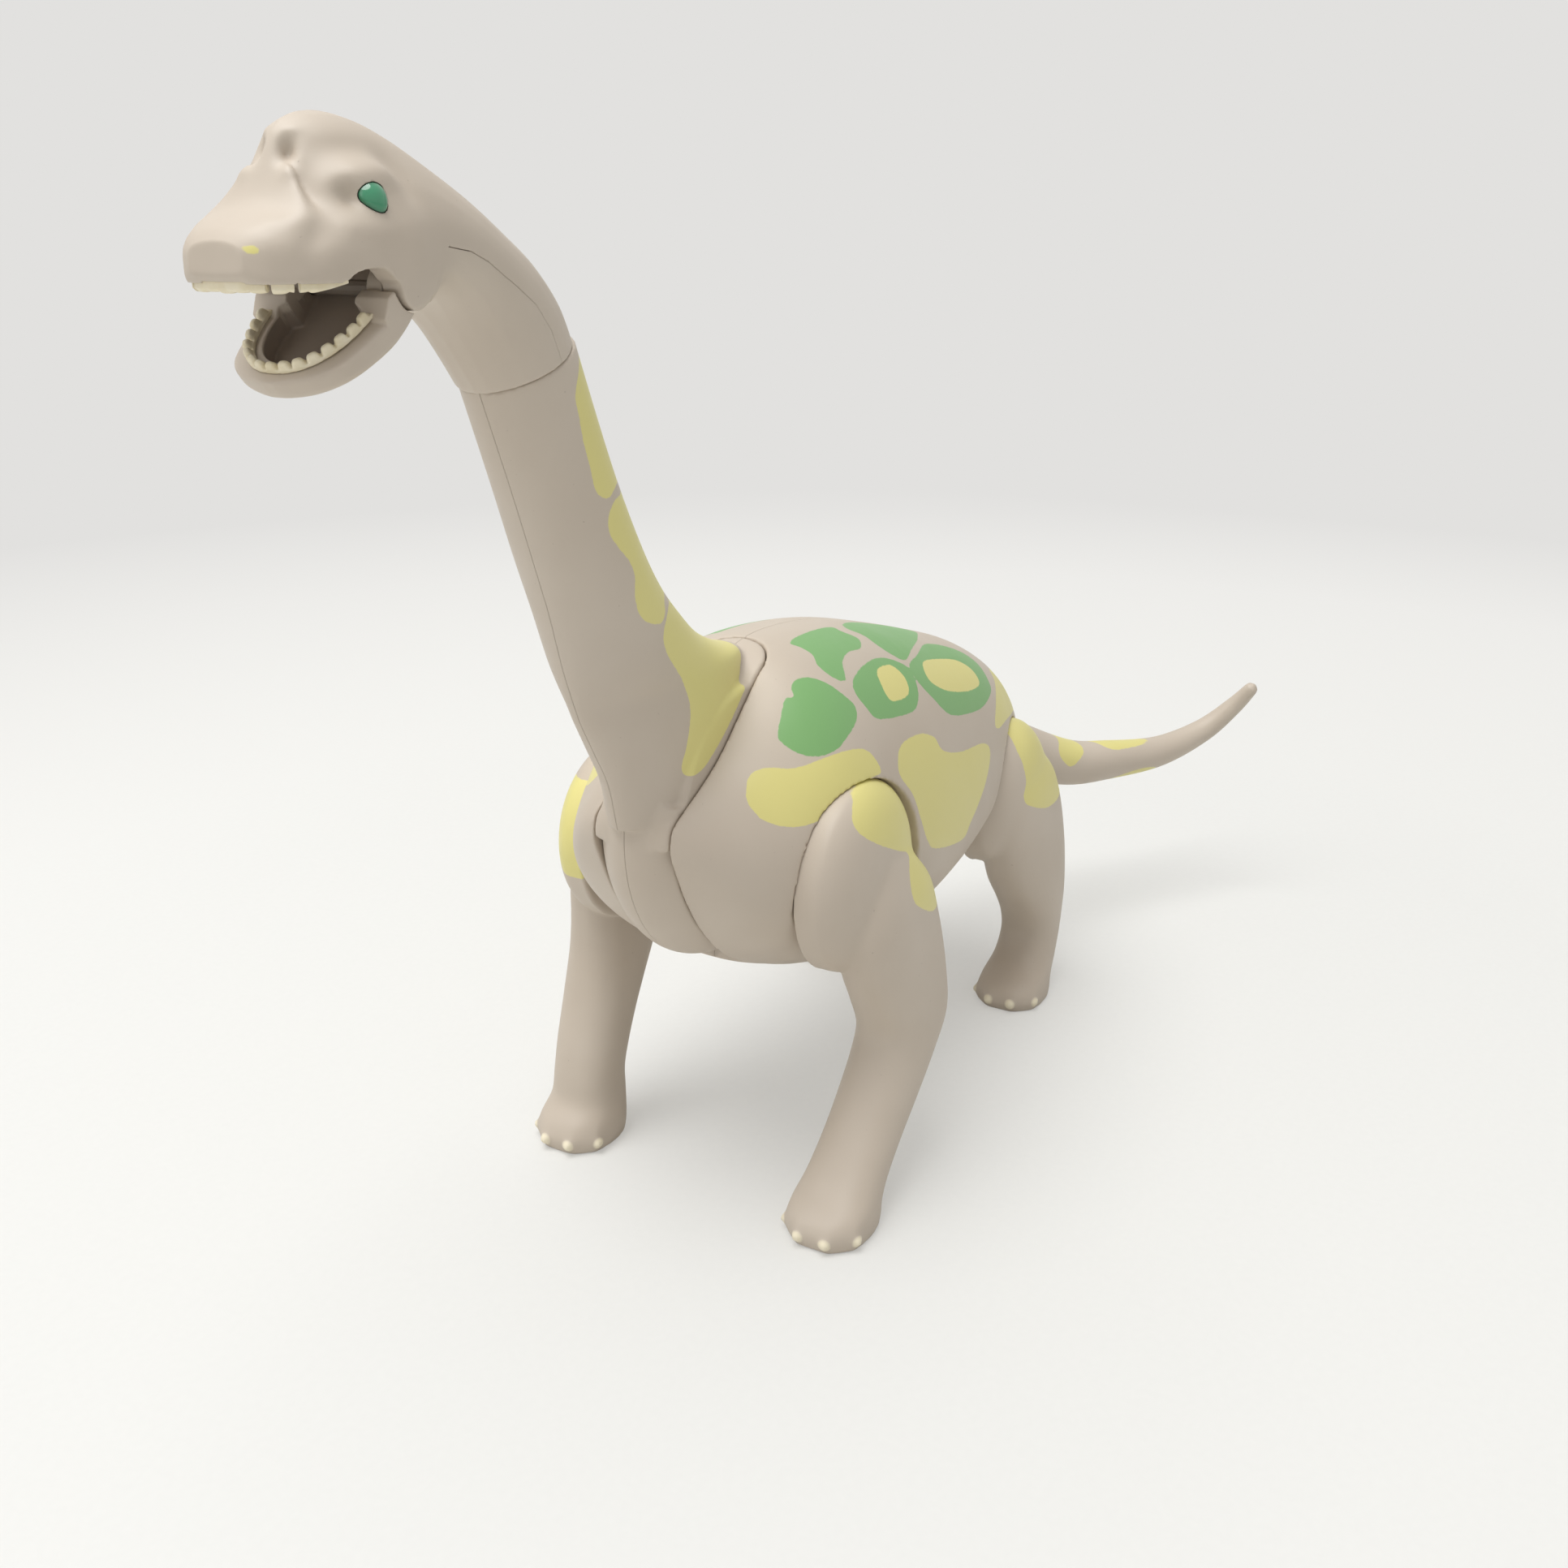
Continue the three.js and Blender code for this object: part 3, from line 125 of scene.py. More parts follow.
# Soft forms of the head, on both sides: place, reach along, across and up, and height
HEAD_FORMS = [
    ((127.5, 13.0, 289.0), (5.5, 4.5, 3.0), 1.5), ((132.6, 12.0, 287.6), (2.6, 3.5, 3.0), 0.6),
    ((121.0, 14.0, 290.0), (3.5, 4.0, 2.6), 0.8), ((129.8, 13.8, 285.9), (2.0, 3.2, 1.9), -1.5),
    ((125.4, 9.6, 294.2), (6.0, 4.0, 2.2), -0.5), ((117.6, 12.0, 292.2), (3.2, 4.0, 2.6), -0.6),
    ((115.6, 13.8, 288.0), (2.6, 5.0, 4.2), -0.7), ((134.2, 3.6, 293.9), (2.2, 1.5, 2.4), -2.4),
    ((133.0, 3.6, 297.2), (2.2, 1.7, 1.1), 0.5), ((135.6, 5.6, 289.8), (1.8, 1.6, 1.5), 0.4),
    ((145.0, 8.0, 281.5), (4.0, 4.0, 2.0), 0.5), ((139.5, 12.0, 281.8), (5.0, 3.5, 2.4), 0.6),
    ((133.0, 15.5, 281.0), (5.0, 4.0, 2.2), 0.4), ((136.0, 11.5, 283.5), (3.0, 3.0, 3.5), 0.5),
    ((125.0, 17.3, 280.0), (5.0, 4.0, 2.6), 0.5), ((117.5, 16.0, 278.0), (4.0, 6.0, 6.5), 0.7),
]
# Where the crest runs down into the muzzle the skin is softened: place, reach and passes
SOFTENED = ((138.5, 9.0, 285.0), (7.0, 9.0, 6.5), 120)
LIP_Z, MOUTH_CORNER_X = 271.3, 136.0
MOUTH_ARCH = [(134.4, 271.9), (133.2, 272.9), (131.4, 273.5), (128.7, 273.7), (126.6, 273.5),
              (125.2, 272.6), (124.2, 271.4)]
MOUTH_BACK_X, MOUTH_ROOF_Z, PALATE_Z, MUZZLE_WALL = 111.0, 280.0, 275.5, 3.8
LOBE_AT, LOBE_RADIUS, LOBE_INNER_Y = (117.8, 271.0), 5.3, 13.2
UPPER_TEETH = dict(inset=1.3, width=2.3, up=0.95, down=1.5, count=13, depth=2.0, height=1.1, uneven=0.12,
                   boxiness=3.0)
# Plan angles, half width and half length of the two deep slots between the upper teeth on each side
TOOTH_SLOTS, SLOT_HALF, SLOT_REACH = (24.0, 36.5), 0.55, 4
MUZZLE_ROOT_X, MUZZLE_TIP_X, MUZZLE_HALF, MUZZLE_ROUNDNESS = 126.0, 149.7, 17.4, 3.0
SEAM = [(107.0, 277.0), (99.0, 276.0), (93.5, 274.0), (84.5, 269.0), (78.0, 265.0), (73.0, 259.5),
        (70.0, 254.0), (68.0, 248.0)]
SEAM_HALF, SEAM_INNER_Y = 0.10, 3.0
# Eyes: place on the skin, the way they face, turn of the long axis from level, and bulge
EYE, EYE_FACES = (125.2, 15.0, 285.5), (0.26, 0.87, 0.42)
EYE_TURN, EYE_BULGE, EYE_SLIMNESS = 100.0, 2.2, 0.43
# How far from the skin the dark line round the eye reaches, in metres
RIM_REACH = 0.0009

# Lower jaw, drawn shut and swung open about its hinge: reach, depth, half width, as shares
JAW_HINGE = np.array([118.0, 0.0, 269.6])
JAW_OPEN = 37.0
JAW_SIZE = (28.0, 8.6, 17.4)
JAW_RIM_RISE, JAW_CORNER, JAW_FLOOR, JAW_GUM = 1.2, 8.6, 2.0, 2.2
LUG_RADIUS, LUG_WIDTH = 4.6, 4.0
# Section form of the jaw: 2 is round, more is boxier
JAW_SIDES, JAW_TOP, JAW_KEEL = 3.0, 6.0, 2.6
JAW_CORNER_RISE, JAW_NOTCH_RADIUS, JAW_RANGE = 2.3, 5.65, 22.0
JAW = [
    (-0.105, 0.42, 0.94), (-0.045, 0.58, 0.98), (0.121, 0.72, 1.00), (0.364, 0.84, 0.985),
    (0.606, 0.77, 0.915), (0.788, 0.67, 0.800), (0.909, 0.60, 0.560), (0.979, 0.48, 0.240),
    (1.000, 0.30, 0.080),
]
# Side view of the raised rear corners, as shares of the reach forward and of the rise
JAW_CORNERS = [(0.07, -1), (0.16, 1), (0.24, 1), (0.36, 0), (0.36, -1)]
# Middle line of the lower teeth: root and front forward of the hinge, half width, roundness
TOOTH_ROW = (8.5, 24.8, 12.9, 2.25)
LOWER_TEETH = dict(count=15, width=1.8, height=2.0, depth=1.42, boxiness=3.2, taper=0.14, lean=0.08)
# The teeth are meshed finer than the jaw, by this share of its grain
TOOTH_GRAIN = 0.7

# Legs: height, place forward of the hub, half length, half width, as shares
LEG_SIZE = (100.0, 26.0, 13.0)
LEG_ROUNDNESS = 2.4
# The foot swells round each claw: share, spread of the angle squared, height and reach up and down
TOE_SWELL, TOE_SPREAD, TOE_Z, TOE_HEIGHT = 0.045, 0.022, 3.0, 5.0
# The torso is grown by this much where it clears the legs
SWING_ROOM = 0.7
LEG_PASSES = 60
FRONT_LEG = [
    (0.000, 0.900, 0.540, 0.950), (0.040, 0.910, 0.570, 1.000), (0.085, 0.850, 0.550, 0.980),
    (0.140, 0.580, 0.480, 0.910), (0.220, 0.200, 0.500, 0.880), (0.310, -0.200, 0.550, 0.890),
    (0.410, -0.580, 0.600, 0.910), (0.500, -0.800, 0.690, 0.930), (0.620, -0.680, 0.800, 0.920),
    (0.740, -0.500, 0.900, 0.880), (0.860, -0.350, 0.920, 0.800), (0.970, -0.300, 0.770, 0.700),
    (1.080, -0.200, 0.450, 0.420),
]
STRAIGHT_LEG = [
    (0.000, 0.720, 0.520, 0.950), (0.040, 0.730, 0.550, 1.000), (0.085, 0.680, 0.520, 0.970),
    (0.140, 0.570, 0.430, 0.880), (0.220, 0.530, 0.400, 0.850), (0.310, 0.430, 0.420, 0.860),
    (0.410, 0.280, 0.460, 0.870), (0.500, 0.130, 0.520, 0.880), (0.620, -0.080, 0.640, 0.860),
    (0.740, -0.220, 0.780, 0.790), (0.860, -0.250, 0.860, 0.640), (0.970, -0.230, 0.770, 0.450),
    (1.080, -0.150, 0.450, 0.260),
]
HIND_LEG = [
    (0.000, -0.360, 0.550, 0.950), (0.040, -0.350, 0.580, 0.990), (0.085, -0.440, 0.550, 0.950),
    (0.140, -0.740, 0.440, 0.860), (0.220, -0.920, 0.400, 0.830), (0.300, -0.930, 0.470, 0.850),
    (0.400, -0.830, 0.680, 0.880), (0.520, -0.620, 0.900, 0.900), (0.640, -0.450, 0.990, 0.880),
    (0.780, -0.280, 0.980, 0.820), (0.900, -0.160, 0.860, 0.680), (1.000, -0.120, 0.450, 0.400),
]
HUB = [(0, 0), (0.97, 0), (1, 0.05), (1, 0.36), (0.95, 0.53), (0.84, 0.70), (0.66, 0.85), (0.38, 0.96),
       (0, 1)]
CLAW_DEGREES = (-58, -19, 19, 58)
CLAW_SIZE, CLAW_Z = (3.4, 2.0), 3.6
# Claws sit at this share of the foot's size, and their paint reaches this far along, across and up
CLAW_OUT, CLAW_PAINT = 0.93, (4.6, 2.6, 2.6)
# Hub place, radius, inner and outer face, middle of the limb, and the turns that the limb swings through
FRONT_HUB = dict(x=-22.0, z=103.0, radius=28.5, inner=36.0, outer=52.6, y=47.6, swing=(-10, 0, 10, 20, 30))
HIND_HUB = dict(x=-153.0, z=86.0, radius=26.5, inner=27.8, outer=48.0, y=39.6,
                swing=(-20, -10, 0, 10, 20, 30))

# Tail: back, to the left and down from its root, as shares
TAIL_ROOT_Z, TAIL_SIZE = 89.0, (118.0, 86.0, 27.0)
TAIL_RADII, TAIL_TAPER = (13.6, 2.6), 0.9
# The room in the torso for the tail pin, the pin's hole in the tail, and where the blunt tip starts
TAIL_ROOM_DEPTH, TAIL_PIN_DEPTH, TAIL_TIP = 8, 13.4, 0.985
TAIL = [
    (0.000, 0.000, 0.000), (0.110, 0.012, 0.110), (0.230, 0.085, 0.430), (0.450, 0.275, 0.870),
    (0.600, 0.430, 0.950), (0.790, 0.610, 0.960), (0.940, 0.770, 0.720), (0.990, 0.900, 0.300),
    (0.980, 1.000, -0.120),
]

# Outlines of the printed markings, as on a giraffe or a lizard.
# Torso markings: place along, and way round from the back line on a round of this radius.
ROUND_RADIUS, ROUND_Z = 50.0, 100.0
TORSO_GREEN = [
    [(-14, 19), (-10, 21), (-6, 24), (-6, 28), (-8, 32), (-12, 35), (-17, 36), (-23, 35), (-30, 33),
     (-33, 30), (-31, 26), (-29, 23), (-26, 20), (-22, 18), (-18, 18), (-16, 20)],
    [(-35, 9), (-48, 8), (-63, 8), (-64, 11), (-66, 15), (-60, 18), (-51, 18), (-43, 20), (-37, 24),
     (-33, 22), (-32, 18), (-35, 15), (-35, 12)],
    [(-75, 7), (-90, 5), (-108, 4), (-122, 5), (-130, 9), (-112, 17), (-93, 22), (-80, 25), (-75, 23),
     (-72, 19), (-72, 14), (-70, 10)],
    [(-60, 22), (-69, 23), (-77, 27), (-75, 32), (-70, 36), (-63, 38), (-50, 37), (-40, 35), (-38, 32),
     (-37, 28), (-40, 25), (-49, 23)],
    [(-112, 20), (-129, 21), (-141, 25), (-146, 32), (-143, 40), (-138, 45), (-121, 48), (-104, 47),
     (-88, 44), (-81, 38), (-77, 32), (-79, 27), (-94, 24)],
]
TORSO_YELLOW = [
    [(-57, 25), (-67, 25), (-70, 29), (-67, 33), (-61, 34), (-53, 33), (-53, 29)],
    [(-92, 27), (-107, 27), (-124, 29), (-132, 34), (-130, 40), (-118, 41), (-102, 39), (-91, 36),
     (-86, 32)],
    [(10, 30), (6, 26), (2, 27), (-4, 33), (-13, 36), (-22, 38), (-28, 40), (-31, 43), (-32, 47),
     (-26, 47), (-17, 50), (-2, 49), (5, 46), (10, 40), (11, 34)],
    [(-47, 44), (-61, 44), (-70, 47), (-74, 52), (-88, 56), (-110, 59), (-116, 64), (-108, 74),
     (-94, 83), (-88, 87), (-64, 81), (-57, 76), (-52, 67), (-48, 58), (-42, 50)],
    [(-139, 49), (-152, 42), (-160, 36), (-176, 34), (-176, 60), (-164, 60), (-146, 59), (-131, 59),
     (-128, 56)],
]
# Neck, leg, tail and muzzle markings: side view
MUZZLE_SPECK = [[(148.2, 277.7), (149.2, 277.5), (149.1, 276.5), (148.1, 276.6)]]
NECK_YELLOW = [
    [(58, 254), (63, 249), (65, 245), (64, 240), (63, 235), (61, 229), (59, 223), (55, 221),
     (50, 223), (40, 226), (38, 240), (48, 256)],
    [(46, 221), (52, 220), (55, 217), (55, 213), (52, 209), (48, 205), (46, 201), (46, 196),
     (44, 191), (40, 188), (35, 187), (32, 189), (30, 192), (18, 197), (20, 212), (36, 224)],
    [(34, 184), (32, 178), (23, 168), (19, 160), (20, 151), (22, 144), (19, 141), (12, 142), (1, 149),
     (-8, 157), (-14, 163), (-16, 170), (-22, 178), (-5, 190), (14, 196), (24, 191), (30, 189)],
]
FRONT_LEG_YELLOW = [
    [(-13, 129), (-17, 131), (-27, 132), (-38, 130), (-48, 124), (-56, 112), (-59, 98), (-56, 88),
     (-43, 87), (-31, 93), (-28, 98), (-30, 104), (-33, 108), (-27, 111), (-17, 116), (-10, 121),
     (-9, 125)],
]
STRAIGHT_LEG_YELLOW = [
    [(-4, 124), (4, 122), (9, 114), (10, 103), (7, 95), (2, 100), (-3, 108), (-9, 116), (-9, 122)],
]
HIND_LEG_YELLOW = [
    [(-144, 106), (-147, 112), (-152, 114), (-163, 116), (-176, 110), (-186, 96), (-188, 84), (-180, 80),
     (-160, 80), (-145, 85), (-142, 89), (-144, 94), (-144, 100)],
]
TAIL_YELLOW = [
    [(-243, 78), (-248, 81), (-254, 79), (-253, 73), (-247, 69), (-242, 67), (-238, 71), (-238, 75)],
    [(-262, 71), (-274, 69), (-286, 70), (-296, 74), (-284, 82), (-266, 82)],
    [(-262, 54), (-272, 59), (-284, 58), (-286, 52), (-268, 46)],
]


# Shapes

def linear(code):
    """Linear colour of an sRGB hex value."""
    parts = [((code >> shift) & 255) / 255 for shift in (16, 8, 0)]
    return tuple(p / 12.92 if p <= 0.04045 else ((p + 0.055) / 1.055) ** 2.4 for p in parts) + (1.0,)


def read_rows(rows, share):
    """A table read at shares from 0 to 1, along a smooth curve through its rows."""
    rows = np.asarray(rows, float)
    place = np.clip(np.asarray(share, float), 0, 1) * (len(rows) - 1)
    i = np.minimum(place.astype(int), len(rows) - 2)
    t = (place - i)[:, None]
    before, here = rows[np.maximum(i - 1, 0)], rows[i]
    after, last = rows[i + 1], rows[np.minimum(i + 2, len(rows) - 1)]
    slope_in, slope_out = (after - before) / 2, (last - here) / 2
    return ((2 * t**3 - 3 * t**2 + 1) * here + (t**3 - 2 * t**2 + t) * slope_in
            + (3 * t**2 - 2 * t**3) * after + (t**3 - t**2) * slope_out)


def rounded(value, roundness):
    return np.sign(value) * np.abs(value) ** (2 / roundness)


def ring_angles(count):
    return 2 * np.pi * np.arange(count) / count


def clear_selection():
    if bpy.context.object and bpy.context.object.mode != "OBJECT":
        bpy.ops.object.mode_set(mode="OBJECT")
    bpy.ops.object.select_all(action="DESELECT")


def only(obj):
    clear_selection()
    obj.select_set(True)
    bpy.context.view_layer.objects.active = obj


def points_of(obj):
    co = np.empty(len(obj.data.vertices) * 3)
    obj.data.vertices.foreach_get("co", co)
    return co.reshape(-1, 3)


def set_points(obj, co):
    obj.data.vertices.foreach_set("co", np.asarray(co, float).ravel())
    obj.data.update()


def normals_of(obj):
    normals = np.empty(len(obj.data.vertices) * 3)
    obj.data.vertices.foreach_get("normal", normals)
    return normals.reshape(-1, 3)


def edit_all(obj, operator, **settings):
    """Runs one mesh operator on all of an object."""
    only(obj)
    bpy.ops.object.mode_set(mode="EDIT")
    bpy.ops.mesh.select_all(action="SELECT")
    operator(**settings)
    bpy.ops.object.mode_set(mode="OBJECT")


def face_out(obj):
    """Merges doubles and turns every face outwards."""
    edit_all(obj, bpy.ops.mesh.remove_doubles, threshold=0.0005)
    edit_all(obj, bpy.ops.mesh.normals_make_consistent, inside=False)


def loft(name, rings):
    """A filled circle is extruded once for each ring, and then every ring is set to its outline."""
    rows, around = rings.shape[:2]
    clear_selection()
    bpy.ops.mesh.primitive_circle_add(vertices=around, radius=1, fill_type="NGON")
    obj = bpy.context.object
    obj.name = name
    bpy.ops.object.mode_set(mode="EDIT")
    bpy.ops.mesh.select_all(action="SELECT")
    for _ in range(rows - 1):
        bpy.ops.mesh.extrude_region_move(TRANSFORM_OT_translate={"value": (0, 0, 1)})
    bpy.ops.object.mode_set(mode="OBJECT")
    co = points_of(obj)
    row = np.rint(co[:, 2]).astype(int)
    step = np.rint(np.arctan2(co[:, 1], co[:, 0]) / (2 * np.pi) * around).astype(int) % around
    set_points(obj, rings[row, step])
    face_out(obj)
    return obj


def prism(name, outline, axis, low, high):
    """A wall of an outline, along Y ("xz" outlines) or along Z ("xy" outlines)."""
    outline = np.asarray(outline, float)
    rings = np.zeros((2, len(outline), 3))
    for k, level in enumerate((low, high)):
        rings[k, :, 0] = outline[:, 0]
        rings[k, :, 2 if axis == "Y" else 1] = outline[:, 1]
        rings[k, :, 1 if axis == "Y" else 2] = level
    return loft(name, rings)


def brick(low, high):
    low, high = np.array(low, float), np.array(high, float)
    clear_selection()
    bpy.ops.mesh.primitive_cube_add(size=1, location=(low + high) / 2, scale=high - low)
    bpy.ops.object.transform_apply(location=True, rotation=True, scale=True)
    return bpy.context.object


def round_bar(start, end, radius, count=96):
    """A cylinder between two points."""
    start, end = Vector(start), Vector(end)
    turn = Vector((0, 0, 1)).rotation_difference(end - start).to_euler()
    clear_selection()
    bpy.ops.mesh.primitive_cylinder_add(vertices=count, radius=radius, depth=(end - start).length,
                                        location=(start + end) / 2, rotation=turn)
    bpy.ops.object.transform_apply(location=True, rotation=True, scale=True)
    return bpy.context.object


def across(x, z, radius, low, high, count=96):
    """A cylinder along Y between two ends, given in either order."""
    low, high = sorted((low, high))
    return round_bar((x, low, z), (x, high, z), radius, count)


def ball(centre, radii, turn=(0, 0, 0), segments=32, rings=20):
    clear_selection()
    bpy.ops.mesh.primitive_uv_sphere_add(segments=segments, ring_count=rings, radius=1, location=centre,
                                         rotation=turn, scale=radii)
    bpy.ops.object.transform_apply(location=True, rotation=True, scale=True)
    return bpy.context.object


def copy_of(obj):
    twin = obj.copy()
    twin.data = obj.data.copy()
    bpy.context.scene.collection.objects.link(twin)
    return twin


def apply_modifier(obj, kind, **settings):
    modifier = obj.modifiers.new(kind.lower(), kind)
    for key, value in settings.items():
        setattr(modifier, key, value)
    only(obj)
    bpy.ops.object.modifier_apply(modifier=modifier.name)


def carve(body, *tools, how="DIFFERENCE"):
    for tool in tools:
        apply_modifier(body, "BOOLEAN", operation=how, solver="EXACT", object=tool)
        bpy.data.objects.remove(tool)
    if not body.data.vertices:
        raise RuntimeError(f"{body.name} was cut away")
    return body


def joined(name, objects):
    clear_selection()
    for obj in objects:
        obj.select_set(True)
    bpy.context.view_layer.objects.active = objects[0]
    bpy.ops.object.join()
    objects[0].name = name
    return objects[0]


def thin_out(obj, faces):
    have = sum(len(p.vertices) - 2 for p in obj.data.polygons)
    if have > faces:
        apply_modifier(obj, "DECIMATE", ratio=faces / have)


def even_out(obj, voxel, passes, faces=math.inf):
    """Rebuilds a piece as one even skin, rounds its edges, and thins it to a number of triangles."""
    apply_modifier(obj, "REMESH", mode="VOXEL", voxel_size=voxel * COARSE)
    apply_modifier(obj, "SMOOTH", factor=0.5, iterations=passes)
    thin_out(obj, faces)


def relax(obj, weights, passes):
    """Melts the places that the weights choose into one another."""
    group = obj.vertex_groups.new(name="relax")
    for level in range(1, 11):
        chosen = np.flatnonzero(np.rint(weights * 10).astype(int) == level)
        if len(chosen):
            group.add(chosen.tolist(), level / 10, "REPLACE")
    apply_modifier(obj, "SMOOTH", factor=0.5, iterations=passes, vertex_group=group.name)
    obj.vertex_groups.clear()


def flip(obj):
    """Turns a left piece into a right one."""
    co = points_of(obj)
    co[:, 1] *= -1
    set_points(obj, co)
    edit_all(obj, bpy.ops.mesh.flip_normals)


def step_between(value, low, high):
    t = np.clip((value - low) / (high - low), 0, 1)
    return t * t * (3 - 2 * t)


# Printed markings

def smooth_outline(points, per_side=8):
    closed = [points[-1], *points, points[0], points[1]]
    rows = np.asarray(closed, float)
    found = []
    for i in range(1, len(rows) - 2):
        for t in np.arange(per_side) / per_side:
            found.append(0.5 * (2 * rows[i] + (rows[i + 1] - rows[i - 1]) * t
                                + (2 * rows[i - 1] - 5 * rows[i] + 4 * rows[i + 1] - rows[i + 2]) * t**2
                                + (3 * rows[i] - rows[i - 1] - 3 * rows[i + 1] + rows[i + 2]) * t**3))
    return np.array(found)


def inside_depth(points, outlines):
    """How far each point lies inside the nearest outline, in millimetres, negative outside."""
    depth = np.full(len(points), -20.0)
    for outline in outlines:
        edge = smooth_outline(outline)
        near = np.all((points > edge.min(0) - 12) & (points < edge.max(0) + 12), axis=1)
        chosen = points[near]
        if not len(chosen):
            continue
        nearest = np.full(len(chosen), 1e9)
        inside = np.zeros(len(chosen), bool)
        for a, b in zip(edge, np.roll(edge, -1, axis=0)):
            way = b - a
            t = np.clip(((chosen - a) @ way) / max(way @ way, 1e-9), 0, 1)
            nearest = np.minimum(nearest, np.linalg.norm(chosen - a - t[:, None] * way, axis=1))
            crosses = (a[1] > chosen[:, 1]) != (b[1] > chosen[:, 1])
            if way[1]:
                inside ^= crosses & (chosen[:, 0] < a[0] + (chosen[:, 1] - a[1]) * way[0] / way[1])
        depth[near] = np.maximum(depth[near], np.where(inside, nearest, -nearest))
    return depth


def print_markings(obj, place, green=(), yellow=()):
    """Stores how deep each point lies in the green and in the yellow markings."""
    for name, outlines in (("green_print", green), ("yellow_print", yellow)):
        store(obj, name, inside_depth(place, outlines))


def store(obj, name, values):
    """Stores a number at each point, for the material to read."""
    layer = obj.data.attributes.new(name, "FLOAT", "POINT")
    layer.data.foreach_set("value", np.asarray(values, np.float32))


def side_view(co):
    return co[:, [0, 2]]


def round_the_back(co):
    """Place along the torso, and the way round from the back line."""
    angle = np.arctan2(np.abs(co[:, 1]), co[:, 2] - ROUND_Z)
    return np.stack([co[:, 0], ROUND_RADIUS * angle], 1)


def settle(obj, name, body, nodes, slot):
    """Sets a piece drawn in millimetres into the frame, in the place of its CAD nodes."""
    obj.name = obj.data.name = name
    set_points(obj, (points_of(obj) + SHIFT) / 1000)
    only(obj)
    bpy.ops.object.shade_smooth()
    obj.data.materials.clear()
    obj.data.materials.append(bpy.data.materials[MATERIALS[slot]])
    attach(obj, body)
    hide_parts(*nodes)


def settle_shells(body, seam_width, part, place, green, yellow):
    """Parts a piece along the middle into two printed shells."""
    carve(body, brick((-FAR, seam_width / 2, -FAR), (FAR, FAR, FAR)), how="INTERSECT")
    right = copy_of(body)
    flip(right)
    for shell, side in ((body, "left"), (right, "right")):
        print_markings(shell, place(points_of(shell)), green, yellow)
        settle(shell, f"{part}_{side}", part, [f"{part}_{side}_shell"], "skin")


# Forms of this animal

def torso_skin(rows=80, around=120):
    along, top, bottom, half = read_rows(TORSO, np.linspace(0, 1, rows)).T
    length, height, half_width = TORSO_SIZE
    angle = ring_angles(around)[None, :]
    top_z, bottom_z = BELLY_Z + top * height, BELLY_Z + bottom * height
    wide_z = bottom_z + TORSO_WIDEST * (top_z - bottom_z)
    lift = rounded(np.cos(angle), TORSO_ROUNDNESS)
    reach = np.where(lift > 0, (top_z - wide_z)[:, None], (wide_z - bottom_z)[:, None])
    rings = np.stack([
        np.broadcast_to((CHEST_X - along * length)[:, None], (rows, around)),
        half[:, None] * half_width * rounded(np.sin(angle), TORSO_ROUNDNESS),
        wide_z[:, None] + lift * reach,
    ], axis=2)
    return loft("torso_skin", rings)


def slot_tools():
    """The slot between the torso shells in which the neck's disc, bib and tongue turn."""
    x, z = NECK_PIVOT[0], NECK_PIVOT[2]
    side = DISC_HALF + GAP
    sweep = carve(across(x, z, BIB_KEEL_RADIUS + BIB_GAP, -side, side, 160),
                  brick((-FAR, -FAR, z), (NOSE_X, FAR, FAR)))
    return [
        across(x, z, DISC_RADIUS + DISC_GAP, -side, side, 160), sweep,
        brick((NOSE_X, -side, z - 1), (FAR, side, FAR)), brick((SLOT_END_X, -side, 0), (FAR, side, z)),
        round_bar((NOSE_X, 0, z - 1), (NOSE_X, 0, z + 120), side),
    ]


def neck_axis():
    lean = math.radians(NECK_LEAN)
    return np.array([math.cos(lean), 0, math.sin(lean)])


def beyond_swivel(on_head_side):
    """A block that covers one side of the swivel plane, past half of the gap."""
    low, high = (-GAP / 5, 200.0) if on_head_side else (-200.0, GAP / 5)
    tool = brick((-100, -100, low), (100, 100, high))
    turn = Matrix.Rotation(math.radians(90 - NECK_LEAN), 4, "Y")
    tool.data.transform(Matrix.Translation(SWIVEL + RING_SEAM_LIFT * neck_axis()) @ turn)
    return tool


def swivel_bar(radius, low, high):
    axis = neck_axis()
    return round_bar(SWIVEL + low * axis, SWIVEL + high * axis, radius)


def neck_skin(rows=90, around=72):
    up, front, nape, half = read_rows(NECK, np.linspace(0, 1, rows)).T
    rise, reach, half_width = NECK_SIZE
    angle = ring_angles(around)[None, :]
    front_x, nape_x = NECK_FOOT[0] + front * reach, NECK_FOOT[0] + nape * reach
    rings = np.stack([
        ((front_x + nape_x) / 2)[:, None] + ((front_x - nape_x) / 2)[:, None] * np.cos(angle),
        (half * half_width)[:, None] * np.sin(angle),
        np.broadcast_to((NECK_FOOT[1] + up * rise)[:, None], (rows, around)),
    ], axis=2)
    return loft("neck_skin", rings)


def bib_form(rows=48):
    across_share = np.linspace(1, -1, 15)
    radius = BIB_KEEL_RADIUS - (BIB_KEEL_RADIUS - BIB_SIDE_RADIUS) * across_share**2
    section = np.array([(1, DISC_HALF), *zip(radius, across_share * DISC_HALF), (1, -DISC_HALF)])
    turn = np.radians(np.linspace(BIB_FROM, BIB_TO, rows))[:, None]
    rings = np.stack([
        NECK_PIVOT[0] + section[None, :, 0] * np.cos(turn),
        np.broadcast_to(section[None, :, 1], (rows, len(section))),
        NECK_PIVOT[2] + section[None, :, 0] * np.sin(turn),
    ], axis=2)
    return loft("bib", rings)


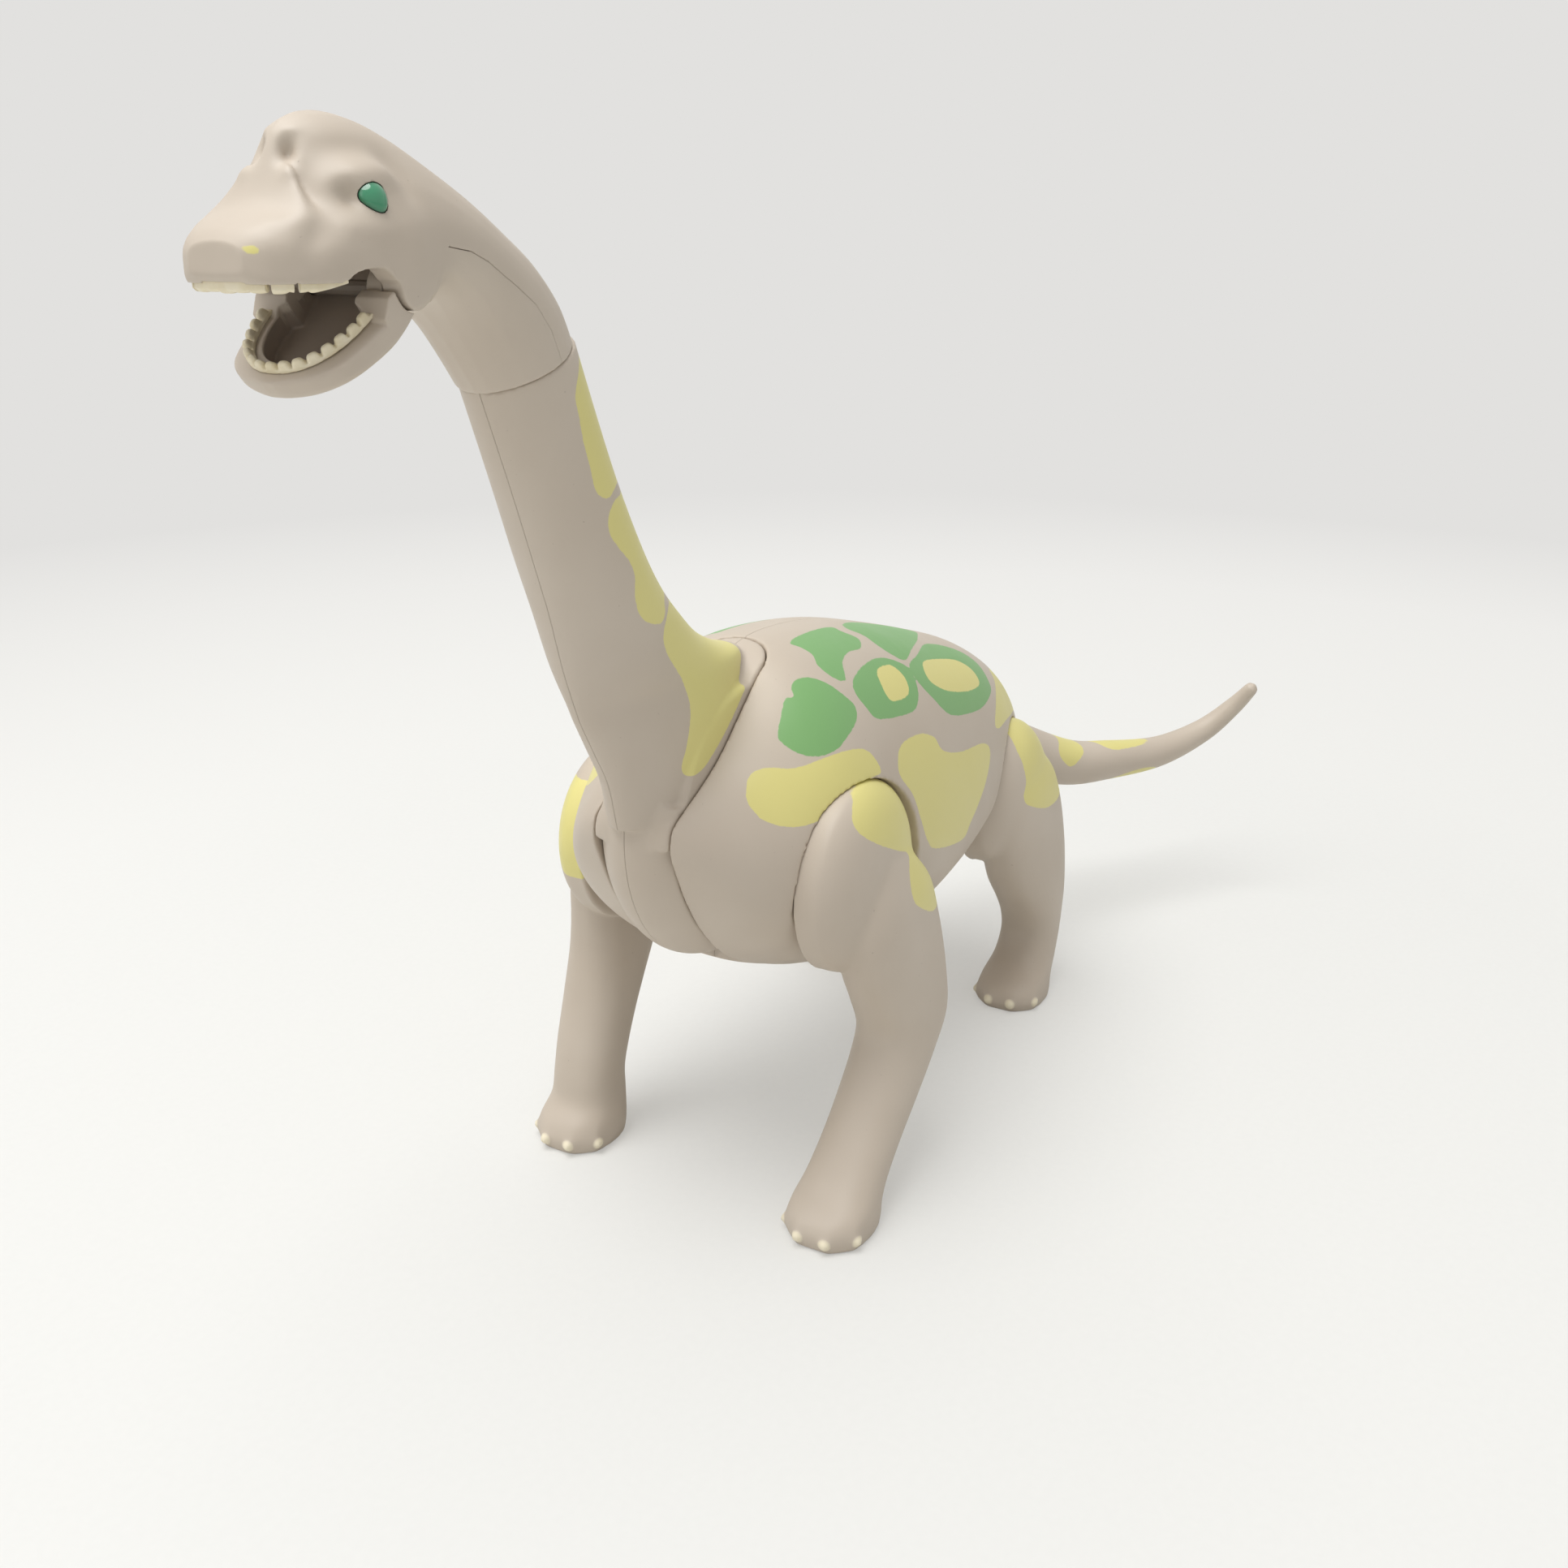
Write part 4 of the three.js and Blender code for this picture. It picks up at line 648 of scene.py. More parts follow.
def head_skin(rows=170, around=144):
    table = read_rows(HEAD, np.linspace(0, 1, rows))
    length, height, half_width = HEAD_SIZE
    top_x, top_z = SWIVEL[0] + table[:, 0] * length, SWIVEL[2] + table[:, 1] * height
    low_x, low_z = SWIVEL[0] + table[:, 2] * length, SWIVEL[2] + table[:, 3] * height
    angle = ring_angles(around)[None, :]
    rise = (1 - np.cos(angle)) / 2
    fine = np.linspace(0, 1, 401)
    sections = np.array(SECTIONS)
    curves = []
    for column in sections.T[1:]:
        curve = np.interp(fine, sections[:, 0], column)
        for _ in range(120):
            curve[9:-9] = (curve[8:-10] + curve[9:-9] + curve[10:-8]) / 3
        curves.append(np.interp(rise[0], fine, curve))
    form = np.clip(table[:, 5], 0, len(curves) - 1.001)[:, None]
    low = np.floor(form).astype(int)[:, 0]
    curves = np.array(curves)
    width = curves[low] + (curves[low + 1] - curves[low]) * (form - low[:, None])
    rings = np.stack([
        low_x[:, None] + rise * (top_x - low_x)[:, None],
        np.sign(np.sin(angle)) * width * (table[:, 4] * half_width)[:, None],
        low_z[:, None] + rise * (top_z - low_z)[:, None],
    ], axis=2)
    return loft("head_skin", rings)


def nearness(co, place, reach):
    """1 at a place on either side of the head, and fading away from it."""
    left = np.stack([co[:, 0], np.abs(co[:, 1]), co[:, 2]], 1)
    return np.exp(-np.sum(((left - place) / reach) ** 2, axis=1))


def head_relief(obj):
    """Raises and sinks the soft forms round the eye, the nostril, the muzzle and the cheek."""
    place, reach, passes = SOFTENED
    relax(obj, nearness(points_of(obj), place, reach), passes)
    co, normals = points_of(obj), normals_of(obj)
    height = np.zeros(len(co))
    for place, reach, amount in HEAD_FORMS:
        height += amount * nearness(co, place, reach)
    set_points(obj, co + normals * height[:, None])


def arc(x, z, radius, start, end, count=24):
    turn = np.radians(np.linspace(start, end, count))
    return list(zip(x + radius * np.cos(turn), z + radius * np.sin(turn)))


def skull_underside():
    """Side view of what is open below the skull: lip, mouth corner and cheek lobe."""
    return [
        (FAR, 0), (FAR, LIP_Z), (MOUTH_CORNER_X, LIP_Z),
        *MOUTH_ARCH,
        *arc(*LOBE_AT, LOBE_RADIUS, 0, -180),
        (LOBE_AT[0] - LOBE_RADIUS - 0.5, 0),
    ]


def snout_plan(root_x, tip_x, half, roundness, inset, count=64):
    turn = np.linspace(np.pi / 2, -np.pi / 2, count)
    x = root_x + (tip_x - root_x - inset) * rounded(np.cos(turn), roundness)
    return np.stack([x, (half - inset) * rounded(np.sin(turn), roundness)], 1)


def front_of(plan, y):
    """How far forward a plan reaches at a distance from the middle line."""
    left = plan[:len(plan) // 2][::-1]
    return np.interp(y, left[:, 1], left[:, 0], right=0)


def muzzle_plan(inset):
    return snout_plan(MUZZLE_ROOT_X, MUZZLE_TIP_X, MUZZLE_HALF, MUZZLE_ROUNDNESS, inset)


def tooth_row(inset):
    """Plan of the lower row of teeth, drawn in by an amount from its middle line."""
    root, front, half, roundness = TOOTH_ROW
    return snout_plan(JAW_HINGE[0] + root, JAW_HINGE[0] + front, half, roundness, inset)


def jaw_skin(name, lift, inset, rows=72, around=96):
    """Jaw surface, with its top lifted above the rim and its keel drawn in."""
    reach, depth, half = JAW_SIZE
    along, deep, wide = read_rows(JAW, np.linspace(0, 1, rows)).T
    angle = ring_angles(around)[None, :]
    tall = (deep * depth - inset + lift)[:, None]
    rings = np.stack([
        np.broadcast_to((JAW_HINGE[0] + along * reach)[:, None], (rows, around)),
        (wide * half)[:, None] * rounded(np.cos(angle), JAW_SIDES),
        JAW_HINGE[2] + JAW_RIM_RISE + lift
        + tall / 2 * (rounded(np.sin(angle), np.where(np.sin(angle) > 0, JAW_TOP, JAW_KEEL)) - 1),
    ], axis=2)
    return loft(name, rings)


def limb_skin(hub, table, rows=72, around=64):
    up, forward, half_length, half_width = read_rows(table, np.linspace(0, 1, rows)).T
    height, length, width = LEG_SIZE
    angle = ring_angles(around)[None, :]
    toes = sum(np.exp(-((angle - math.radians(d) + np.pi) % (2 * np.pi) - np.pi) ** 2 / TOE_SPREAD)
               for d in CLAW_DEGREES)
    swell = 1 + TOE_SWELL * toes * np.exp(-((up * height - TOE_Z) / TOE_HEIGHT) ** 2)[:, None]
    rings = np.stack([
        hub["x"] + (forward * length)[:, None]
        + (half_length * length)[:, None] * rounded(np.cos(angle), LEG_ROUNDNESS) * swell,
        hub["y"] + (half_width * width)[:, None] * rounded(np.sin(angle), LEG_ROUNDNESS) * swell,
        np.broadcast_to((up * height)[:, None], (rows, around)),
    ], axis=2)
    return loft("limb", rings)


def torso_swept(hub):
    """The torso, a little grown, at several turns about a hub: what a limb must clear as it swings."""
    tools = []
    for degrees in hub["swing"]:
        skin = torso_skin(50, 72)
        set_points(skin, points_of(skin) + SWING_ROOM * normals_of(skin))
        hinge = Matrix.Translation((hub["x"], 0, hub["z"]))
        skin.data.transform(hinge @ Matrix.Rotation(math.radians(degrees), 4, "Y") @ hinge.inverted())
        tools.append(skin)
    return tools


def hub_form(hub, rows=48, around=112):
    out, up = read_rows(HUB, np.linspace(0, 1, rows)).T
    angle = ring_angles(around)[None, :]
    radius = (np.maximum(out, 0.002) * hub["radius"])[:, None]
    rings = np.stack([
        hub["x"] + radius * np.cos(angle),
        np.broadcast_to((hub["inner"] + up * (hub["outer"] - hub["inner"]))[:, None], (rows, around)),
        hub["z"] + radius * np.sin(angle),
    ], axis=2)
    return loft("hub", rings)


def claw_places(hub, table):
    _, forward, half_length, half_width = table[1]
    places = []
    for degrees in CLAW_DEGREES:
        turn = math.radians(degrees)
        places.append((np.array([
            hub["x"] + (forward + half_length * CLAW_OUT * math.cos(turn)) * LEG_SIZE[1],
            hub["y"] + half_width * CLAW_OUT * math.sin(turn) * LEG_SIZE[2],
            CLAW_Z,
        ]), turn))
    return places


def tail_line(count):
    """Points of the tail's middle line, evenly spaced, and their directions."""
    fine = read_rows(TAIL, np.linspace(0, 1, 600)) * TAIL_SIZE
    line = np.stack([RUMP_X - GAP - fine[:, 0], fine[:, 1], TAIL_ROOT_Z - fine[:, 2]], 1)
    length = np.concatenate([[0], np.cumsum(np.linalg.norm(np.diff(line, axis=0), axis=1))])
    even = np.linspace(0, length[-1], count)
    spots = np.stack([np.interp(even, length, line[:, k]) for k in range(3)], 1)
    ways = np.gradient(spots, axis=0)
    ways[0] = (-1, 0, 0)
    return spots, ways / np.linalg.norm(ways, axis=1)[:, None]


# Materials

MATERIALS = {"skin": "moulded_vinyl_skin", "tooth": "cream_painted_teeth", "eye": "green_enamel_eye",
             "pin": "moulded_acetal_pin", "floor": "matt_white_paper"}


def add(tree, kind, inputs, out=0, **settings):
    """Adds a node and gives one of its outputs. Each input is a source to link or a value to set."""
    made = tree.nodes.new("ShaderNode" + kind)
    for key, value in settings.items():
        setattr(made, key, value)
    for name, source in inputs.items():
        if isinstance(source, bpy.types.NodeSocket):
            tree.links.new(source, made.inputs[name])
        else:
            made.inputs[name].default_value = source
    return made.outputs[out] if made.outputs else None


def empty_tree(owner):
    owner.use_nodes = True
    owner.node_tree.nodes.clear()
    return owner.node_tree


def start_material(slot):
    tree = empty_tree(bpy.data.materials.new(MATERIALS[slot]))
    return tree, add(tree, "TexCoord", {}, "Object")


def finish_material(tree, shader):
    add(tree, "OutputMaterial", {"Surface": add(tree, "BsdfPrincipled", shader)})


def clouds(tree, where, scale, low, high, to_low=0.0, to_high=1.0, detail=3.0, roughness=0.5):
    """Soft patches of a size, spread from one level to another."""
    noise = add(tree, "TexNoise", {"Vector": where, "Scale": scale, "Detail": detail,
                                   "Roughness": roughness}, "Fac")
    return add(tree, "MapRange", {"Value": noise, "From Min": low, "From Max": high, "To Min": to_low,
                                  "To Max": to_high})


def layered(tree, colour, coats):
    """Lays coats of colour over one another, each as thick as its source says."""
    for thickness, coat in coats:
        colour = add(tree, "Mix", {0: thickness, 6: colour, 7: coat}, 2, data_type="RGBA")
    return colour


def skin_material(looks):
    """Moulded vinyl skin, spark-eroded mould finish: a soft satin sheen and a very fine grain."""
    tree, where = start_material("skin")
    # Pigment drifts by a shade over some 40 mm, as in any moulding, and dust lies in specks of 0.6 mm
    coats = [(clouds(tree, where, 24.0, 0.3, 0.7, detail=2.0), looks.skin_shade),
             (clouds(tree, where, 900.0, 0.79, 0.82, 0.0, 0.35, 1.0), looks.dust)]
    # The print's edge wanders by about a tenth of a millimetre, and the print is rubbed in places
    wander = clouds(tree, where, 700.0, 0.25, 0.75, -0.12, 0.12, 2.0)
    printed = 0.0
    for name, ink, worn in (("green_print", looks.green, 0.30), ("yellow_print", looks.yellow, 0.15)):
        depth = add(tree, "Attribute", {}, "Fac", attribute_name=name)
        depth = add(tree, "Math", {0: depth, 1: wander}, operation="ADD")
        cover = add(tree, "MapRange", {"Value": depth, "From Min": -0.12, "From Max": 0.12})
        wear = clouds(tree, where, 320.0, 0.70, 0.74, 1.0, 1.0 - worn, 4.0, 0.7)
        coats.append((add(tree, "Math", {0: cover, 1: wear}, operation="MULTIPLY"), ink))
        printed = add(tree, "Math", {0: printed, 1: cover}, operation="MAXIMUM")
    # Inside the mouth the skin is darkened as painted shade, and the claws are painted like the teeth
    for name, low, high, thickest, paint in (("mouth", 0.0, 1.0, 0.85, looks.mouth),
                                             ("claw", 0.45, 0.6, 1.0, looks.tooth)):
        depth = add(tree, "Attribute", {}, "Fac", attribute_name=name)
        coats.append((add(tree, "MapRange", {"Value": depth, "From Min": low, "From Max": high,
                                             "To Max": thickest}), paint))
    # Ink lies smoother than the eroded skin
    sheen = clouds(tree, where, 60.0, 0.3, 0.7, 0.44, 0.52)
    rough = add(tree, "Math", {0: printed, 1: -0.08, 2: sheen}, operation="MULTIPLY_ADD")
    # Grain of 0.12 mm would not show, so it is drawn at about 0.5 mm and very low
    grain = add(tree, "TexNoise", {"Vector": where, "Scale": 2200.0}, "Fac")
    ink_edge = add(tree, "Math", {0: printed, 1: 0.5}, operation="MULTIPLY")
    height = add(tree, "Math", {0: grain, 1: 0.25, 2: ink_edge}, operation="MULTIPLY_ADD")
    bump = add(tree, "Bump", {"Height": height, "Strength": 0.10, "Distance": 0.0002})
    finish_material(tree, {"Base Color": layered(tree, looks.skin, coats), "Roughness": rough,
                           "Normal": bump, "IOR": 1.5})


def tooth_material(looks):
    """Moulded ABS painted cream: warm satin, with soft patches of a darker cream."""
    tree, where = start_material("tooth")
    colour = layered(tree, looks.tooth, [(clouds(tree, where, 260.0, 0.35, 0.7), looks.tooth_shade)])
    grain = add(tree, "TexNoise", {"Vector": where, "Scale": 1500.0, "Detail": 3.0}, "Fac")
    bump = add(tree, "Bump", {"Height": grain, "Strength": 0.12, "Distance": 0.0002})
    finish_material(tree, {"Base Color": colour, "Normal": bump,
                           "Roughness": clouds(tree, where, 400.0, 0.3, 0.7, 0.38, 0.5)})


def eye_material(looks):
    """Clear-coated green enamel: a dark line round the rim, a paler middle that is a painted highlight, and
    a hard gloss.
    """
    tree, where = start_material("eye")
    depth = add(tree, "Attribute", {}, "Fac", attribute_name="eye_rim")
    cloudy = clouds(tree, where, 420.0, 0.3, 0.7, -0.06, 0.06)
    # The paler middle, away from the skin, is a painted highlight on the eye's dome
    middle = add(tree, "Math", {0: depth, 1: cloudy}, operation="ADD")
    middle = add(tree, "MapRange", {"Value": middle, "From Min": 0.35, "From Max": 1.0})
    rim = add(tree, "MapRange", {"Value": depth, "From Min": 0.16, "From Max": 0.30, "To Min": 1.0,
                                 "To Max": 0.0})
    colour = layered(tree, looks.eye, [(middle, looks.eye_painted_highlight), (rim, linear(0x17362A))])
    finish_material(tree, {"Base Color": colour, "Coat Weight": 0.6, "Coat Roughness": 0.05,
                           "Roughness": clouds(tree, where, 300.0, 0.3, 0.7, 0.10, 0.16)})


def pin_material(_looks):
    """Plain moulded acetal pins: a little darker and duller than the skin."""
    tree, where = start_material("pin")
    drift = clouds(tree, where, 120.0, 0.3, 0.7)
    finish_material(tree, {"Base Color": layered(tree, linear(0x8F8478), [(drift, linear(0x857A6E))]),
                           "Roughness": clouds(tree, where, 500.0, 0.3, 0.7, 0.5, 0.62)})


# Settings in the sidebar

def colour_setting(name, description, code):
    return bpy.props.FloatVectorProperty(name=name, description=description, default=linear(code), size=4,
                                         subtype="COLOR", min=0, max=1)


class DinoLooks(bpy.types.PropertyGroup):
    skin: colour_setting("Skin", "Moulded skin colour", 0xC6BAAB)
    skin_shade: colour_setting("Skin shade", "Second shade that the pigment drifts to", 0xBFB2A2)
    dust: colour_setting("Dust", "Specks of handling dust", 0x8E8272)
    green: colour_setting("Green print", "Printed green markings", 0x7BAB6C)
    yellow: colour_setting("Yellow print", "Printed yellow markings", 0xDBD287)
    # Colour of the painted shade inside the mouth
    mouth: colour_setting("Mouth", "Painted shade inside the mouth", 0x94867A)
    tooth: colour_setting("Teeth", "Cream of the teeth and claws", 0xECE2C8)
    tooth_shade: colour_setting("Teeth shade", "Darker cream", 0xE0D3B0)
    eye: colour_setting("Eye", "Green of the eye", 0x21704C)
    # Painted highlight in the middle of the eye
    eye_painted_highlight: colour_setting("Eye light", "Paler middle of the eye", 0x348A62)


def number_setting(name, description, default, low, high, **kind):
    return bpy.props.FloatProperty(name=name, description=description, default=default, min=low, max=high,
                                   **kind)


class DinoSizes(bpy.types.PropertyGroup):
    body_voxel: number_setting("Body grain", "Mesh grain of the torso, neck and legs, in mm", 0.6, 0.4, 3)
    head_voxel: number_setting("Head grain", "Mesh grain of the head and tail, in mm", 0.42, 0.3, 3)
    jaw_voxel: number_setting("Jaw grain", "Mesh grain of the jaw and teeth, in mm", 0.24, 0.15, 2)
    seam_width: number_setting("Seam width", "Width of the parting lines, in mm", 0.16, 0.1, 1)
    eye_length: number_setting("Eye length", "Longer side of the egg-shaped eye, in mm", 6.3, 3, 9)


class DinoStage(bpy.types.PropertyGroup):
    focal: number_setting("Focal length", "Camera lens on a 36 mm sensor, in mm", 36.0, 20, 100)
    top_power: number_setting("Top light", "Large soft light above", 38.0, 0, 500, unit="POWER")
    side_power: number_setting("Side light", "Large soft light from the left", 2.2, 0, 500, unit="POWER")
    room: number_setting("Room light", "Strength of the pale room all round", 0.50, 0, 2)


# Pieces

class DINO_OT_materials(bpy.types.Operator):
    """Makes the procedural materials of the figure"""
    bl_idname = "dino.materials"
    bl_label = "Materials"

    def execute(self, context):
        looks = context.scene.dino_looks
        for make in (skin_material, tooth_material, eye_material, pin_material):
            make(looks)
        for name, node in frame["nodes"].items():
            if name.endswith(("pin", "plug", "axle")):
                node.data.materials.clear()
                node.data.materials.append(bpy.data.materials[MATERIALS["pin"]])
        return {"FINISHED"}


class DINO_OT_torso(bpy.types.Operator):
    """Makes the two torso shells, with the neck slot and the leg pockets"""
    bl_idname = "dino.torso"
    bl_label = "Torso"

    def execute(self, context):
        sizes = context.scene.dino_sizes
        body = torso_skin()
        carve(body, *slot_tools())
        for hub in (FRONT_HUB, HIND_HUB):
            floor_y = hub["inner"] - GAP
            for side in (1, -1):
                carve(body,
                      across(hub["x"], hub["z"], hub["radius"] + GAP, side * floor_y, side * FAR, 128),
                      across(hub["x"], hub["z"], PIN_HEAD_ROOM, side * (floor_y - PIN_HEAD_DEPTH),
                             side * FAR, 32))
        start, end = RUMP_X - RUN_OUT, RUMP_X + TAIL_ROOM_DEPTH
        carve(body, round_bar((start, 0, TAIL_ROOT_Z), (end, 0, TAIL_ROOT_Z), TAIL_PIN_ROOM, 48))
        even_out(body, sizes.body_voxel, 3, TRIANGLES["torso"])
        settle_shells(body, sizes.seam_width, "torso", round_the_back, TORSO_GREEN, TORSO_YELLOW)
        return {"FINISHED"}


class DINO_OT_neck(bpy.types.Operator):
    """Makes the two neck shells, with the disc, the chest bib and the tongue at the nape"""
    bl_idname = "dino.neck"
    bl_label = "Neck"

    def execute(self, context):
        sizes = context.scene.dino_sizes
        x, z = NECK_PIVOT[0], NECK_PIVOT[2]
        side = DISC_HALF
        root = carve(torso_skin(), brick((NOSE_X, -side, z), (FAR, side, FAR)), how="INTERSECT")
        tongue = carve(torso_skin(), round_bar((NOSE_X, 0, z), (NOSE_X, 0, z + NOSE_HEIGHT), side),
                       how="INTERSECT")
        body = joined("neck", [neck_skin(), across(x, z, DISC_RADIUS, -side, side, 160), bib_form(), root,
                               tongue])
        even_out(body, sizes.body_voxel, 2)
        height = points_of(body)[:, 2]
        melt = step_between(height, *NAPE_MELT[:2]) * (1 - step_between(height, *NAPE_MELT[2:]))
        relax(body, melt, NAPE_PASSES)
        carve(body, beyond_swivel(True), swivel_bar(SWIVEL_HOLE, -SWIVEL_IN_NECK, RUN_OUT),
              across(x, z, AXLE_HOLE, -FAR, FAR, 32))
        even_out(body, sizes.body_voxel, 2, TRIANGLES["neck"])
        settle_shells(body, sizes.seam_width, "neck", side_view, (), NECK_YELLOW)
        return {"FINISHED"}


class DINO_OT_head(bpy.types.Operator):
    """Makes the head with its crest, cheeks, nostrils, eye sockets and seam"""
    bl_idname = "dino.head"
    bl_label = "Head"

    def execute(self, context):
        sizes = context.scene.dino_sizes
        body = head_skin()
        head_relief(body)
        strip_top = LIP_Z + UPPER_TEETH["up"]
        carve(body, beyond_swivel(False), swivel_bar(SWIVEL_HOLE, -RUN_OUT, SWIVEL_IN_HEAD),
              prism("underside", skull_underside(), "Y", -FAR, FAR),
              brick((MOUTH_BACK_X, -LOBE_INNER_Y, 0), (MOUTH_CORNER_X, LOBE_INNER_Y, MOUTH_ROOF_Z)),
              prism("palate", muzzle_plan(MUZZLE_WALL), "Z", 0, PALATE_Z),
              across(JAW_HINGE[0], JAW_HINGE[2], JAW_PIN_HOLE, -17, 17, 24),
              prism("rebate", muzzle_plan(UPPER_TEETH["inset"] - 0.1), "Z", 0, strip_top + 0.05))
        even_out(body, sizes.head_voxel, 2, TRIANGLES["head"])
        # The inside of the mouth is marked for painted shade
        store(body, "mouth", self.painted_mouth_shade(points_of(body), strip_top))
        carve(body, *[eye_form(sizes.eye_length, side, 0.12) for side in (1, -1)])
        seam = [(x, z + w) for w, line in ((SEAM_HALF, SEAM), (-SEAM_HALF, SEAM[::-1])) for x, z in line]
        for low, high in ((SEAM_INNER_Y, FAR), (-FAR, -SEAM_INNER_Y)):
            carve(body, prism("seam", seam, "Y", low, high))
        co = points_of(body)
        place = side_view(co)
        place[co[:, 1] < 0] = 0
        print_markings(body, place, (), MUZZLE_SPECK)
        settle(body, "head", "head", ["skull_shell", "throat_shell"], "skin")
        return {"FINISHED"}

    def painted_mouth_shade(self, co, strip_top):
        """Where shade is painted inside the mouth: between the cheeks, and the palate behind the front
        wall.
        """
        x, y, z = co[:, 0], np.abs(co[:, 1]), co[:, 2]
        cheeks = (x > MOUTH_BACK_X - 0.5) & (x < MOUTH_CORNER_X + 1) & (y < LOBE_INNER_Y + 0.3)
        palate = (x > MOUTH_CORNER_X - 1) & (x < front_of(muzzle_plan(MUZZLE_WALL - 0.4), y))
        palate &= (z > strip_top - 0.4) & (z < PALATE_Z + 0.5)
        return (z < MOUTH_ROOF_Z + 0.5) & (cheeks | palate)


def eye_form(length, side, grow):
    """An egg-shaped eye, blunter at its upper end."""
    egg = ball((0, 0, 0), (1, 1, 1), segments=64, rings=40)
    co = points_of(egg)
    co[:, 1] *= 1 - 0.14 * co[:, 0]
    co *= np.array([length / 2, length * EYE_SLIMNESS, EYE_BULGE]) + grow
    set_points(egg, co)
    out = Vector(EYE_FACES).normalized()
    level = Vector((1, 0, 0)) - out * out.x
    turned = Matrix.Rotation(math.radians(EYE_TURN), 4, out) @ level.normalized()
    egg.data.transform(Matrix((turned, out.cross(turned), out)).transposed().to_4x4())
    egg.data.transform(Matrix.Translation(EYE))
    if side < 0:
        flip(egg)
    return egg


class DINO_OT_eyes(bpy.types.Operator):
    """Makes the two glossy egg-shaped eyes"""
    bl_idname = "dino.eyes"
    bl_label = "Eyes"

    def execute(self, context):
        sizes = context.scene.dino_sizes
        skin = bpy.data.objects["head"].data
        head = BVHTree.FromPolygons([v.co for v in skin.vertices], [p.vertices for p in skin.polygons])
        for side, name in ((1, "left"), (-1, "right")):
            egg = eye_form(sizes.eye_length, side, 0.0)
            co = points_of(egg)
            rim = [head.find_nearest(Vector(spot))[3] for spot in (co + SHIFT) / 1000]
            store(egg, "eye_rim", np.clip(np.array(rim) / RIM_REACH, 0, 1))
            settle(egg, f"eye_{name}", "head", [f"{name}_eye"], "eye")
        return {"FINISHED"}


def swing_open(obj):
    """Turns a piece that was drawn on the shut jaw to where the open jaw holds it."""
    turn = Matrix.Rotation(math.radians(JAW_OPEN), 4, "Y")
    hinge = Matrix.Translation(JAW_HINGE)
    obj.data.transform(hinge @ turn @ hinge.inverted())


class DINO_OT_jaw(bpy.types.Operator):
    """Makes the lower jaw, a trough that is notched for the cheek lobes"""
    bl_idname = "dino.jaw"
    bl_label = "Lower jaw"

    def execute(self, context):
        sizes = context.scene.dino_sizes
        reach, _, half = JAW_SIZE
        hinge_x, hinge_z = JAW_HINGE[0], JAW_HINGE[2]
        rim = hinge_z + JAW_RIM_RISE
        outline = [(hinge_x + a * reach, rim + b * JAW_CORNER_RISE) for a, b in JAW_CORNERS]
        corners = prism("corners", outline, "Y", -half, half)
        carve(corners, jaw_skin("corner_skin", 2 * JAW_CORNER_RISE, 0), how="INTERSECT")
        body = carve(jaw_skin("jaw", 0, 0), corners, how="UNION")
        carve(body, self.hollow(rim))
        lug_y = LOBE_INNER_Y - GAP
        # Seen from the jaw, the cheek lobes roll round the hinge as it shuts
        offset = Vector((LOBE_AT[0] - hinge_x, 0, LOBE_AT[1] - hinge_z))
        for degrees in (0, JAW_RANGE / 2, JAW_RANGE):
            spot = JAW_HINGE + np.array(Matrix.Rotation(math.radians(degrees - JAW_OPEN), 3, "Y") @ offset)
            carve(body, *[across(spot[0], spot[2], JAW_NOTCH_RADIUS, s * lug_y, s * FAR) for s in (1, -1)])
        lugs = [across(hinge_x, hinge_z, LUG_RADIUS, s * (lug_y - LUG_WIDTH), s * lug_y) for s in (1, -1)]
        body = joined("jaw", [body, *lugs])
        even_out(body, sizes.jaw_voxel, 2)
        co = points_of(body)
        plan = tooth_row(JAW_GUM - 0.2)
        y = np.abs(co[:, 1])
        trough = (y < plan[0, 1]) & (co[:, 0] < front_of(plan, y)) & (co[:, 2] < rim - 0.5)
        # The trough inside the row of teeth is marked for painted shade
        store(body, "mouth", trough & (normals_of(body)[:, 2] > -0.1))
        swing_open(body)
        carve(body, across(hinge_x, hinge_z, JAW_PIN_HOLE, -FAR, FAR, 24))
        thin_out(body, TRIANGLES["jaw"])
        print_markings(body, side_view(points_of(body)))
        settle(body, "jaw", "jaw", ["lower_jaw"], "skin")
        return {"FINISHED"}

    def hollow(self, rim):
        """The trough inside the row of teeth, which narrows between the raised corners."""
        back, step_x = JAW_HINGE[0] - 12, JAW_HINGE[0] + 7.6
        narrow = JAW_SIZE[2] - JAW_CORNER
        plan = [(back, narrow), (step_x, narrow), *map(tuple, tooth_row(JAW_GUM)),
                (step_x, -narrow), (back, -narrow)]
        return carve(prism("trough", plan, "Z", rim - JAW_SIZE[1], rim + JAW_SIZE[1]),
                     jaw_skin("hollow", JAW_SIZE[1], JAW_FLOOR), how="INTERSECT")


def facing(plan):
    """Which way a plan faces at each of its points, as an angle from straight ahead."""
    way = np.gradient(plan, axis=0)
    return np.unwrap(np.arctan2(way[:, 0], -way[:, 1]))


def plan_spot(plan, centre_x, angle):
    """Where a direction from a point on the middle line meets a plan, and which way the plan faces."""
    turns = np.arctan2(plan[:, 1], plan[:, 0] - centre_x)
    spot = np.array([np.interp(-angle, -turns, plan[:, k]) for k in range(2)])
    return spot, float(np.interp(-angle, -turns, facing(plan)))


def along_plan(plan, root_x, count):
    """Evenly spaced places along a plan forward of its root, and which way it faces at each."""
    kept = plan[:, 0] >= root_x
    plan, ways = plan[kept], facing(plan)[kept]
    length = np.concatenate([[0], np.cumsum(np.linalg.norm(np.diff(plan, axis=0), axis=1))])
    even = length[-1] * (np.arange(count) + 0.5) / count
    spots = np.stack([np.interp(even, length, plan[:, k]) for k in range(2)], 1)
    return list(zip(spots, np.interp(even, length, ways).tolist()))


